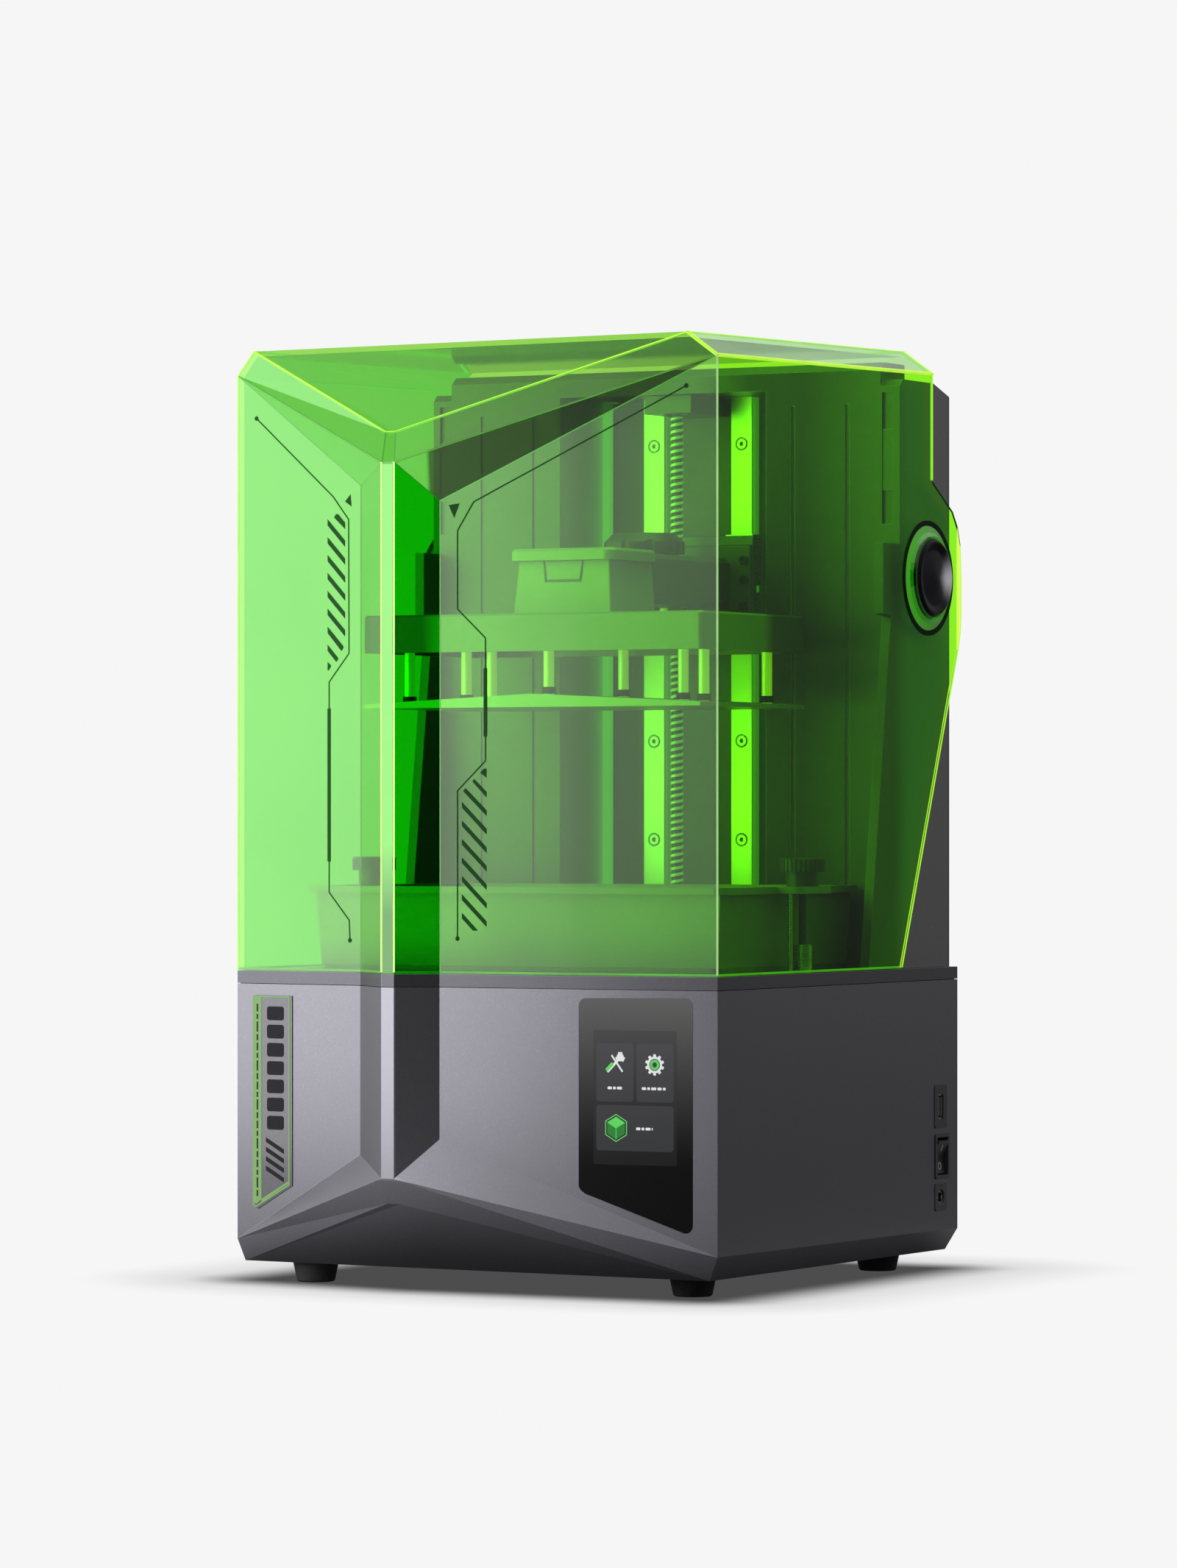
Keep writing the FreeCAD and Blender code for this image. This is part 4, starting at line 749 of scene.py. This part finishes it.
# ---------------------------------------------------------------- mesh kit
def headings(points, closed=False):
    """Unit directions into and out of each point of a line."""
    after = [(b - a).normalized() for a, b in zip(points, points[1:] + points[:1])]
    if not closed:
        after[-1] = after[-2]
    before = after[-1:] + after[:-1]
    if not closed:
        before[0] = after[0]
    return zip(before, after)


class Piece:
    """A mesh of closed solids. Outlines lie on a wall; place carries them into space."""

    def __init__(self, place=None, depths=None):
        self.mesh = bmesh.new()
        self.place = place
        self.depths = depths

    def ring(self, points):
        return [self.mesh.verts.new(point) for point in points]

    def outline(self, points, depth):
        return self.ring(self.place(x, z, depth) for x, z in points)

    def skin(self, rows, closed=False):
        """Join rings in turn; an open sleeve gets end faces, a closed one joins up."""
        following = rows[1:] + rows[:1] if closed else rows[1:]
        for near, far in zip(rows, following):
            for i in range(len(near)):
                j = (i + 1) % len(near)
                self.mesh.faces.new((near[i], near[j], far[j], far[i]))
        if not closed:
            self.mesh.faces.new(rows[0][::-1])
            self.mesh.faces.new(rows[-1])

    def slab(self, points, depths=None):
        """Flat plate."""
        self.skin([self.outline(points, depth) for depth in depths or self.depths])

    def ring_plate(self, outer, inner, depths=None):
        """Plate with a hole: both outlines have the same number of points."""
        outer_low, outer_high, inner_low, inner_high = [
            self.outline(points, depth)
            for points in (outer, inner) for depth in depths or self.depths]
        self.skin([outer_low, outer_high, inner_high, inner_low], closed=True)

    def strip(self, line, width, depths=None, closed=False):
        """Flat mitred ribbon along a line."""
        low, high = depths or self.depths
        points = [Vector(point) for point in line]
        rows = []
        for point, (before, after) in zip(points, headings(points, closed)):
            normal = Vector((-before.y, before.x))
            mitre = (normal + Vector((-after.y, after.x))).normalized()
            reach = mitre * (width / 2 / max(0.35, mitre.dot(normal)))
            left, right = point + reach, point - reach
            corners = ((left, low), (right, low), (right, high), (left, high))
            rows.append(self.ring(self.place(*spot, depth) for spot, depth in corners))
        self.skin(rows, closed)

    def tube(self, points, radius, sides=8):
        """Round bar through points in millimetres, with mitred corners."""
        path = [Vector(point) * MM for point in points]
        across = None
        rows = []
        for point, (before, after) in zip(path, headings(path)):
            ahead = (before + after).normalized()
            if across is None:
                across = ahead.orthogonal().normalized()
            across = (across - ahead * across.dot(ahead)).normalized()
            other = ahead.cross(across)
            stretch = 1.0 / max(0.5, ahead.dot(before))
            bend = before - ahead * before.dot(ahead)
            bend = bend.normalized() if bend.length > 1e-5 else Vector((0, 0, 0))
            offsets = []
            for i in range(sides):
                angle = 2 * math.pi * (i + 0.5) / sides
                offset = (across * math.cos(angle) + other * math.sin(angle)) * radius * MM
                offsets.append(offset + bend * offset.dot(bend) * (stretch - 1.0))
            rows.append(self.ring(point + offset for offset in offsets))
        self.skin(rows)

    def finish(self, name, material, body, slot, smooth=False):
        """Make the object with its material and fix it to a moving body."""
        bmesh.ops.remove_doubles(self.mesh, verts=self.mesh.verts, dist=1e-7)
        bmesh.ops.recalc_face_normals(self.mesh, faces=self.mesh.faces)
        data = bpy.data.meshes.new(name)
        self.mesh.to_mesh(data)
        self.mesh.free()
        data.materials.append(material)
        for polygon in data.polygons:
            polygon.use_smooth = smooth
        piece = bpy.data.objects.new(name, data)
        bpy.context.scene.collection.objects.link(piece)
        if smooth:
            piece.modifiers.new("smooth", "NODES").node_group = SMOOTH
        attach(piece, body)
        return piece


def disc(x, z, radius, segments=20, start=0.0):
    angles = [start + 2 * math.pi * i / segments for i in range(segments)]
    return [(x + radius * math.cos(angle), z + radius * math.sin(angle)) for angle in angles]


def rounded_rectangle(left, right, bottom, top, radius, segments=4):
    points = []
    for x, z, start in ((right - radius, top - radius, 0), (left + radius, top - radius, 90),
                        (left + radius, bottom + radius, 180),
                        (right - radius, bottom + radius, 270)):
        for i in range(segments + 1):
            angle = math.radians(start + 90.0 * i / segments)
            points.append((x + radius * math.cos(angle), z + radius * math.sin(angle)))
    return points


def dashes(length, gap, sizes):
    """Start and size of dashes laid along a length, in repeating sizes."""
    start = 0.0
    for size in itertools.cycle(sizes):
        if start >= length:
            return
        yield start, size
        start += size + gap


def falling(left, right, tops, drop, thick):
    """Slanted bars falling to the right, one for each left top height."""
    return [[(left, z), (left, z - thick), (right, z - drop - thick), (right, z - drop)]
            for z in tops]


# ---------------------------------------------------------------- lead screw with its thread
def lead_screw():
    bottom, top, pitch = 197.0, 514.0, 4.0
    crest, root = 4.0, 3.0
    core = root * 0.98   # radius where the thread runs out
    run_out = 2.0        # length over which it does so
    segments, rows_per_turn = 20, 12
    journal = ((3.0, 514.05), (3.0, 522.4), (2.5, 522.95))  # plain upper end: radius, z

    def thread_radius(turn):
        phase = turn % 1.0
        if phase < 0.34:
            return crest
        if phase < 0.50:
            return crest + (root - crest) * (phase - 0.34) / 0.16
        if phase < 0.84:
            return root
        return root + (crest - root) * (phase - 0.84) / 0.16

    piece = Piece()

    def row(radii, z):
        angles = [2 * math.pi * i / segments for i in range(segments)]
        return piece.ring(
            Vector((r * math.cos(angle), SCREW_Y + r * math.sin(angle), z)) * MM
            for r, angle in zip(radii, angles))

    rows = []
    steps = int((top - bottom) / pitch * rows_per_turn)
    for i in range(steps + 1):
        z = bottom + (top - bottom) * i / steps
        ease = min(1.0, (z - bottom) / run_out, (top - z) / run_out)
        rows.append(row([core + (thread_radius(z / pitch - j / segments) - core) * ease
                         for j in range(segments)], z))
    rows += [row([radius] * segments, z) for radius, z in journal]
    piece.skin(rows)
    screw = piece.finish("lead_screw_thread", thread_metal(), "z_screw", "rail_steel",
                         smooth=True)
    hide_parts("lead_screw")


lead_screw()


# ---------------------------------------------------------------- lid edges with painted glow
def roof_z(y):
    """The roof rises towards the rear."""
    return 542.0 + 6.0 * (y + 145.0) / 275.1


# heights of the shoulder above the corners of the prow
SHOULDER = {"left": 528.4, "bend_l": 461.6, "crest_l": 473.0, "crest_r": 473.0,
            "bend_r": 451.1, "right": 528.4}
LID_POINTS = {
    **{"low:" + corner: (*spot, LID_FOOT) for corner, spot in FRONT.items()},
    **{"mid:" + corner: (*FRONT[corner], z) for corner, z in SHOULDER.items()},
    "low:rear_r": (HALF_WIDTH, 89.3, LID_FOOT),
    "low:rear_l": (-HALF_WIDTH, 89.3, LID_FOOT),
    "mid:rear_r": (HALF_WIDTH, REAR_Y, 534.5),
    "mid:rear_l": (-HALF_WIDTH, REAR_Y, 534.5),
    "roof:left": (-155.0, -121.5, roof_z(-121.5)),
    "roof:crest_l": (-46.6, -154.9, 491.0),
    "roof:crest_r": (-40.3, -154.9, 491.0),
    "roof:right": (143.5, -145.0, roof_z(-145.0)),
    "roof:rear_r": (144.7, REAR_Y, roof_z(REAR_Y)),
    "roof:rear_l": (-152.0, REAR_Y, roof_z(REAR_Y)),
}


def inside_wall(key, depth):
    """A lid point drawn a little into the wall."""
    x, y, z = LID_POINTS[key]
    if key.startswith("low"):
        inward = Vector((-x / HALF_WIDTH, 1.0 if y < 0 else -0.5, 0.0))
        z += 0.95
    else:
        inward = Vector((-x / HALF_WIDTH, -0.6 if "rear" in key else -(y + 10) / 150.0, -0.6))
    return Vector((x, y, z)) + inward.normalized() * depth


def lid_edges(name, runs, radius, material, depth=0.7):
    """Bars with painted glow for light caught by the lid's edges; each run is a line of keys of
    LID_POINTS.
    """
    piece = Piece()
    for run in runs:
        piece.tube([inside_wall(key, depth) for key in run.split()], radius)
    piece.finish(name, material, "lid", "lid_green", smooth=True)


# painted glow: emissive colours for light caught by the lid's edges
EDGE_GLOW = glow("edge_glow", (0.52, 1.0, 0.05), 0.95, vary=0.3)
EDGE_SOFT = glow("edge_glow_soft", (0.20, 0.80, 0.06), 0.35, vary=0.3)
EDGE_PALE = glow("edge_glow_pale", (0.58, 0.88, 0.31), 0.95, vary=0.15)
EDGE_NEAR = glow("edge_glow_near", (0.36, 0.62, 0.24), 0.95, vary=0.2)
EDGE_LOW = glow("edge_glow_low", (0.17, 0.46, 0.10), 0.8, vary=0.5, scale=25.0)
EDGE_CREST = glow("edge_glow_crest", (0.74, 1.0, 0.32), 0.95, vary=0.12)

lid_edges("lid_edge_roof",
          ["roof:left roof:crest_l", "roof:crest_l roof:crest_r", "roof:crest_r roof:right",
           "roof:right roof:rear_r roof:rear_l roof:left"], 0.75, EDGE_GLOW)
lid_edges("lid_edge_shoulder_right",
          ["mid:right mid:rear_r roof:rear_r", "mid:right roof:right"], 1.15, EDGE_GLOW)
lid_edges("lid_edge_shoulder_left",
          ["mid:left mid:rear_l roof:rear_l", "mid:left roof:left"], 0.8, EDGE_GLOW)
lid_edges("lid_edge_corner_near", ["low:right mid:right"], 0.55, EDGE_NEAR, depth=0.3)
lid_edges("lid_edge_corner_left", ["low:left mid:left"], 0.8, EDGE_PALE, depth=0.3)
lid_edges("lid_edge_crest", ["low:crest_l mid:crest_l", "low:crest_r mid:crest_r"], 0.55,
          EDGE_CREST, depth=0.1)
lid_edges("lid_edge_crest_top",
          ["mid:crest_l roof:crest_l", "mid:crest_r roof:crest_r", "mid:crest_l mid:crest_r"],
          0.4, EDGE_SOFT)
lid_edges("lid_edge_facets", ["mid:left mid:crest_l", "mid:crest_r mid:right"], 0.5,
          EDGE_SOFT)
lid_edges("lid_edge_ridge",
          ["low:bend_l mid:bend_l mid:crest_l", "mid:left mid:bend_l",
           "low:bend_r mid:bend_r mid:crest_r", "mid:bend_r mid:right"], 0.35, EDGE_SOFT)
lid_edges("lid_edge_bottom",
          ["low:rear_l low:left low:bend_l low:crest_l low:crest_r low:bend_r low:right "
           "low:rear_r"], 0.65, EDGE_LOW, depth=1.4)

# rear outline of the lid's ears, downwards: y, z
EAR_UPPER = [(REAR_Y, 470.0), (157.9, 453.4), (164.6, 444.7), (168.6, 433.6),
             (170.0, 414.0), (170.0, 393.3), (169.0, 382.0), (165.9, 371.3)]
EAR_LOWER = [(165.9, 371.3), (129.6, 281.8), (88.9, 182.35)]


def lid_rear_edges():
    piece = Piece()
    for side in (-1, 1):
        x, y = side * (HALF_WIDTH - 0.3), REAR_Y - 0.5
        piece.tube([(x, y, 533.5), (x, y, 471.0)], 0.8)
        for inset, radius in ((0.5, 0.42), (3.2, 0.30)):
            piece.tube([(side * HALF_WIDTH, y - inset, z) for y, z in EAR_LOWER], radius)
    piece.finish("lid_edge_rear", EDGE_GLOW, "lid", "lid_green", smooth=True)


def lid_ear_faces():
    """Yellow band of painted glow behind a straight front line, on the curved part of each ear.
    """
    front_y = 163.6
    curve = EAR_UPPER[2:]
    piece = Piece(depths=(0.02, 0.22))
    for wall in SIDES:
        piece.place = wall
        piece.slab([(y - 0.35, z) for y, z in curve] + [(front_y, z) for _, z in curve[:0:-1]])
    yellow = glow("edge_glow_yellow", (0.66, 1.0, 0.085), 0.98, vary=0.12, scale=30.0)
    piece.finish("lid_edge_ear", yellow, "lid", "lid_green")


def lid_ear_lines():
    piece = Piece()
    for side in (-1, 1):
        piece.tube([(side * (HALF_WIDTH - 0.1), y - 0.2, z - 0.2)
                    for y, z in EAR_UPPER[:4]], 0.5)
    piece.finish("lid_ear_line", ink("ear_line", (0.004, 0.05, 0.004)), "lid", "lid_green",
                 smooth=True)


def lid_crest_flat():
    left, crest_y = FRONT["crest_l"]
    right = FRONT["crest_r"][0]
    inset, bottom, top = 0.9, LID_FOOT + 1.2, 471.6
    piece = Piece(lambda x, z, depth: Vector((x, crest_y - depth, z)) * MM, (0.03, 0.16))
    piece.slab([(left + inset, bottom), (right - inset, bottom),
                (right - inset, top), (left + inset, top)])
    piece.finish("lid_crest_flat", crest_painted_light(), "lid", "lid_green")


def hinge_rings():
    """Black ring in its groove on each side."""
    piece = Piece(depths=(-0.55, 0.5))
    for wall in SIDES:
        piece.place = wall
        piece.ring_plate(disc(*HINGE, 34.2, 72), disc(*HINGE, 31.2, 72))
    piece.finish("hinge_ring", ink("hinge_ring_black", (0.003, 0.012, 0.004)), "lid",
                 "gloss_black")


def hinge_bosses():
    """Raised cone inside each ring."""
    outer, inner, low, high = 31.0, 24.6, 0.18, 2.4
    under = low - 0.25
    piece = Piece()
    for wall in SIDES:
        piece.place = wall
        section = ((outer, low), (inner, high), (inner, under), (outer, under))
        piece.skin([piece.outline(disc(*HINGE, radius, 72), depth)
                    for radius, depth in section], closed=True)
    piece.finish("hinge_boss", hinge_boss_green(), "lid", "lid_green", smooth=True)


lid_rear_edges()
lid_ear_faces()
lid_ear_lines()
lid_crest_flat()
hinge_rings()
hinge_bosses()

# ---------------------------------------------------------------- ornament on the front faces
PRINTED_INK = ink("printed_ink", (0.006, 0.040, 0.006))


def ornament(name, place, line, bar, slashes, triangle):
    """A long line with a dot at each end, a thick bar, slashes and a triangle: x, z."""
    piece = Piece(place, depths=(0.05, 0.22))
    piece.strip(line, width=0.75)
    piece.strip(bar, width=2.3, depths=(0.05, 0.26))
    for end in (line[0], line[-1]):
        piece.slab(disc(*end, 1.35), depths=(0.04, 0.24))
    for slash in slashes:
        piece.slab(slash)
    piece.slab(triangle)
    piece.finish(name, PRINTED_INK, "lid", "gloss_black")


ornament(
    "ornament_left", on_left,
    line=[(-149.3, 502.9), (-92.4, 455.7), (-81.0, 442.2), (-80.7, 365.0),
          (-95.3, 348.7), (-95.3, 227.2), (-80.5, 211.2), (-80.0, 199.7)],
    bar=[(-95.3, 333.4), (-95.3, 245.0)],
    slashes=falling(-96.4, -83.6, [442.7 - 10.34 * i for i in range(6)], 12.6, 3.6) + [
        [(-91.6, 443.6), (-90.2, 445.6), (-88.6, 445.4), (-83.6, 440.4), (-83.6, 436.8)],
        [(-96.4, 380.6), (-96.4, 377.0), (-86.2, 366.4), (-84.8, 368.2), (-84.8, 369.2)],
        [(-96.4, 370.2), (-96.4, 366.7), (-90.0, 360.2), (-88.4, 362.2)],
        [(-96.4, 360.3), (-93.8, 358.0), (-95.6, 355.4), (-96.4, 355.6)]],
    triangle=[(-83.6, 452.6), (-78.8, 449.6), (-79.6, 456.6)])
ornament(
    "ornament_right", on_right,
    line=[(144.3, 511.5), (9.1, 449.7), (-1.4, 433.6), (-1.4, 388.9),
          (16.7, 372.3), (16.7, 302.6), (-1.4, 285.6), (-1.4, 201.6)],
    bar=[(16.7, 355.2), (16.7, 316.4)],
    slashes=falling(1.5, 17.4, [279.2 - 10.5 * i for i in range(6)], 15.2, 3.2) + [
        [(2.3, 285.4), (3.8, 287.2), (17.4, 274.5), (17.4, 271.3)],
        [(8.3, 290.8), (9.3, 292.4), (17.4, 285.0), (17.4, 281.8)],
        [(13.2, 295.9), (16.0, 298.3), (17.4, 298.1), (17.4, 293.0)],
        [(1.5, 216.2), (1.5, 213.0), (8.6, 206.2), (11.9, 206.2)]],
    triangle=[(-7.0, 448.2), (0.0, 449.0), (-3.6, 440.8)])


# ---------------------------------------------------------------- badge, left of the base
def badge_frame():
    """Green outline, left column and sloping foot."""
    piece = Piece(on_left, depths=(0.5, 0.74))
    piece.strip([(-151.2, 166.2), (-124.6, 166.2), (-124.6, 57.3), (-149.2, 43.9),
                 (-151.2, 45.0)], width=0.9, depths=(0.5, 0.78), closed=True)
    piece.slab([(-151.0, 165.8), (-145.2, 165.8), (-145.2, 48.2), (-149.2, 45.4),
                (-151.0, 46.0)])
    piece.slab([(-144.6, 48.7), (-125.2, 59.3), (-125.2, 57.9), (-145.2, 46.6),
                (-145.2, 48.4)])
    green = glow("badge_green", (0.20, 0.38, 0.13), 0.85, rough=0.4, vary=0.08, scale=400.0)
    piece.finish("badge_green_frame", green, "base", "badge_plastic")


def badge_bars():
    """Dark bars, slashes below them and a dashed line down the left column."""
    piece = Piece(on_left, depths=(0.5, 0.74))
    for i in range(7):
        z = 152.6 - i * 10.6
        piece.slab(rounded_rectangle(-141.0, -128.6, z, z + 8.0, 1.6))
    for slash in falling(-141.8, -128.6, [67.8 + 5.5 * i for i in range(4)], 6.6, 2.6):
        piece.slab(slash)
    top, bottom, left, right = 162.0, 52.0, -148.7, -147.6
    for start, size in dashes(top - bottom, 1.4, sizes=(4.5, 3.0, 6.0, 3.6)):
        z = top - start
        piece.slab([(left, z), (right, z), (right, z - size), (left, z - size)],
                   depths=(0.7, 0.8))
    piece.finish("badge_bars", badge_ink(), "base", "badge_plastic")


badge_frame()
badge_bars()

# ---------------------------------------------------------------- touchscreen picture
SCREEN = 0.3                                # depth of the glass surface
SYMBOL_LOW, SYMBOL_HIGH = SCREEN + 0.08, SCREEN + 0.15
SYMBOL = (SYMBOL_LOW, SYMBOL_HIGH)
SYMBOL_RAISED = (SYMBOL_LOW, SYMBOL_HIGH + 0.03)
GEAR = (124.6, 132.0)                       # centre
CUBE = (100.3, 96.2)                        # centre of the hexagon with three faces
TILES = ((87.8, 111.3, 111.0, 143.7), (113.2, 136.5, 111.0, 143.7),
         (87.8, 136.5, 83.4, 109.0))        # left, right, bottom, top
DASHED = ((95.0, 104.8, 118.6), (116.6, 132.6, 118.6), (113.0, 123.4, 96.0))  # x, x, z


def finish_display(piece, name, material):
    piece.finish(name, material, "base", "panel_glass")


def gear_outline(x, z, root, tip, teeth):
    points = []
    half = math.pi / teeth
    for i in range(teeth):
        middle = 2 * math.pi * i / teeth
        for turn, radius in ((-0.60, root), (-0.42, tip), (0.42, tip), (0.60, root),
                             (1.0, root)):
            angle = middle + turn * half
            points.append((x + radius * math.sin(angle), z + radius * math.cos(angle)))
    return points


def hexagon(radius):
    return disc(*CUBE, radius, 6, start=math.radians(30))


def display_ground():
    # the display area and its tiles carry a painted reflection
    piece = Piece(on_right, depths=(SCREEN - 0.1, SCREEN + 0.04))
    piece.slab(rounded_rectangle(85.9, 138.5, 75.6, 151.0, 0.8))
    finish_display(piece, "display_area", black_glass(
        "display_dark", low=(0.010, 0.010, 0.011), high=(0.085, 0.085, 0.086)))
    piece = Piece(on_right, depths=(SCREEN, SCREEN + 0.09))
    for tile in TILES:
        piece.slab(rounded_rectangle(*tile, 2.0))
    finish_display(piece, "display_tiles", black_glass(
        "display_tile", low=(0.036, 0.037, 0.040), high=(0.086, 0.082, 0.092)))


def display_white():
    """Gear, crossed tools and dashed lines."""
    piece = Piece(on_right, SYMBOL)
    outer = gear_outline(*GEAR, root=4.7, tip=6.0, teeth=10)
    angles = [math.atan2(x - GEAR[0], z - GEAR[1]) for x, z in outer]
    piece.ring_plate(outer, [(GEAR[0] + 3.4 * math.sin(angle), GEAR[1] + 3.4 * math.cos(angle))
                             for angle in angles])
    piece.strip([(94.8, 127.6), (101.6, 134.4)], width=1.5)
    piece.slab(gear_outline(102.9, 135.9, root=2.3, tip=3.2, teeth=3))
    piece.strip([(97.5, 137.0), (104.4, 127.8)], width=1.0,
                depths=(SYMBOL_LOW, SYMBOL_HIGH + 0.02))
    for left, right, z in DASHED:
        for start, size in dashes(right - left - 0.5, 0.8, sizes=(2.6, 1.7, 3.1)):
            x = left + start
            piece.slab(rounded_rectangle(x, min(x + size, right), z - 0.75, z + 0.75,
                                         0.35, 2))
    finish_display(piece, "display_symbols_white",
                   glow("symbol_white", (0.72, 0.74, 0.74), 0.9, vary=0.05))


def display_green():
    """Gear ring, tool handle and the cube with its edges and outline."""
    green = glow("symbol_green", (0.10, 0.62, 0.10), 0.9, vary=0.1)
    corners = hexagon(6.3)
    piece = Piece(on_right, SYMBOL)
    piece.ring_plate(disc(*GEAR, 2.9, 24), disc(*GEAR, 1.5, 24), SYMBOL_RAISED)
    piece.strip([(94.2, 128.4), (98.2, 132.4)], width=2.0, depths=SYMBOL_RAISED)
    piece.slab([*corners[:3], CUBE])
    finish_display(piece, "display_symbols_green", green)

    piece = Piece(on_right, SYMBOL)
    piece.slab([CUBE, *corners[2:5]])
    piece.slab([CUBE, corners[4], corners[5], corners[0]], (SYMBOL_LOW, SYMBOL_HIGH - 0.02))
    finish_display(piece, "display_symbols_dark",
                   glow("symbol_green_dark", (0.02, 0.22, 0.03), 0.8, vary=0.1))

    piece = Piece(on_right, SYMBOL)
    for i in (2, 0, 4):
        piece.strip([corners[i], CUBE], width=0.45,
                    depths=(SYMBOL_HIGH - 0.03, SYMBOL_HIGH + 0.04))
    piece.strip(hexagon(7.6), width=0.5, closed=True)
    finish_display(piece, "display_symbol_lines", green)


display_ground()
display_white()
display_green()


# ---------------------------------------------------------------- switch marks
def on_rocker(across, z, depth):
    """On the upper or lower half of the paddle, which leans; across runs along y."""
    lean = math.radians(8.0)
    half_height, end_face, rise = 9.8, 5.2, 2.2
    out = (end_face - rise * (half_height - abs(z)) / half_height) + depth
    x = out * math.cos(lean) + z * math.sin(lean)
    height = -out * math.sin(lean) + z * math.cos(lean)
    return Vector((158.6 + x, 143.4 + across, 68.6 + height)) * MM


def rocker_marks():
    """A bar above a ring."""
    piece = Piece(on_rocker, depths=(0.02, 0.16))
    piece.slab([(-0.5, 3.4), (0.5, 3.4), (0.5, 7.4), (-0.5, 7.4)])
    piece.ring_plate(disc(0, -5.4, 2.2), disc(0, -5.4, 1.5))
    piece.finish("rocker_marks", glow("switch_mark", (0.6, 0.6, 0.6), 0.1, vary=0.05),
                 "rocker", "rocker_plastic")


rocker_marks()

# ---------------------------------------------------------------- camera, light, floor
scene = bpy.context.scene
scene.view_settings.view_transform = "Standard"
scene.view_settings.look = "None"
scene.view_settings.exposure = 0.0
scene.view_settings.gamma = 1.0


def add_camera():
    data = bpy.data.cameras.new("camera")
    data.lens = 148.0
    data.sensor_width = 36.0
    data.shift_y = 0.0223
    data.clip_end = 100.0
    camera = bpy.data.objects.new("camera", data)
    camera.location = (1.8129, -3.3360, 0.2696)
    camera.rotation_euler = (math.radians(90.0), 0.0, math.radians(28.5))
    scene.collection.objects.link(camera)
    scene.camera = camera


def add_world():
    """A plain backdrop for the camera; soft patches of light for everything else."""
    world = bpy.data.worlds.new("studio")
    scene.world = world
    graph = Graph(world, "OutputWorld")
    camera_ray = graph.field("LightPath", "Is Camera Ray")
    direction = Field(graph, graph.coords["Generated"])

    def patch(towards, edge, full, level):
        """Light round a direction: full at one cosine, nothing at the edge cosine."""
        facing = direction.dot(Vector(towards).normalized())
        return facing.span(edge, full, low=0.0, high=level, smooth=True)

    level = (patch((0, 0, 1), edge=0.1, full=0.6, level=0.60)
             + patch((-0.93, 0.37, 0.10), edge=0.55, full=1.0, level=0.95)
             + patch((0.477, 0.879, 0.0), edge=0.55, full=1.0, level=0.36)
             + 0.10)
    ambient = graph.field("Background", 0, {"Color": WHITE, "Strength": level})
    seen = graph.field("Background", 0, {"Color": BACKDROP})
    graph.finish(graph.shade(camera_ray, ambient, seen))


def area_light(name, location, aim, width, height, power):
    data = bpy.data.lights.new(name, "AREA")
    data.shape = "RECTANGLE"
    data.size = width
    data.size_y = height
    data.energy = power
    light = bpy.data.objects.new(name, data)
    light.location = location
    towards = Vector(aim) - Vector(location)
    light.rotation_euler = towards.to_track_quat("-Z", "Y").to_euler()
    scene.collection.objects.link(light)
    light.visible_camera = False


def floor_material():
    mat = Material("floor_pale")
    grain = mat.noise(300.0, detail=3.0)
    camera_ray = mat.field("LightPath", "Is Camera Ray")

    def largest(first, second):
        return mat.math("MAXIMUM", first, second)

    def outside(value, low, high):
        return largest(largest(low - value, value - high), 0.0)

    def painted_shadow_rectangle(x_range, y_range, reach, power):
        """1 inside, fading to 0 at reach."""
        off_x = outside(mat.axis("X"), *x_range)
        # the front of the casing falls back to the left of the prow
        set_back = largest(-0.04 - mat.axis("X"), 0.0) * 0.2
        off_y = outside(mat.axis("Y") - set_back, *y_range)
        distance = mat.math("SQRT", off_x * off_x + off_y * off_y)
        return distance.span(0.0, reach, low=1.0, high=0.0, smooth=True) ** power

    # painted shadow of the casing on the floor: a dark core and a wider, paler fringe
    core = painted_shadow_rectangle((-0.150, 0.145), (-0.130, 0.158), reach=0.062, power=1.0)
    wide = painted_shadow_rectangle((-0.150, 0.145), (-0.125, 0.158), reach=0.135, power=0.8)
    lit = (1.0 - (core * 0.62 + wide * 0.30)) * grain.ripple(0.997, 1.003)
    seen = mat.field("Emission", 0, {"Color": BACKDROP, "Strength": lit})
    # what the object sees of the floor: bright on the left, shaded close to the casing
    far = mat.axis("X").span(-0.12, 0.32, low=0.95, high=0.06)
    near = painted_shadow_rectangle((-0.155, 0.150), (-0.138, 0.158), reach=0.115, power=1.6)
    bounce = mat.field("Emission", 0,
                       {"Color": WHITE, "Strength": far * (1.0 - near * 0.93)})
    return mat.finish(mat.shade(camera_ray, bounce, seen))


def add_floor():
    grid = bmesh.new()
    bmesh.ops.create_grid(grid, x_segments=48, y_segments=48, size=9.0)
    data = bpy.data.meshes.new("floor")
    grid.to_mesh(data)
    grid.free()
    data.materials.append(floor_material())
    floor = bpy.data.objects.new("floor", data)
    scene.collection.objects.link(floor)


add_camera()
add_world()
area_light("key", (-0.490, -0.394, 0.485), aim=(-0.490 + 0.371, -0.394 + 0.929, 0.485),
           width=0.785, height=0.87, power=6.75)
area_light("top", (0.1, 0.4, 1.9), aim=(0, 0, 0.3), width=1.2, height=1.2, power=12.0)
add_floor()
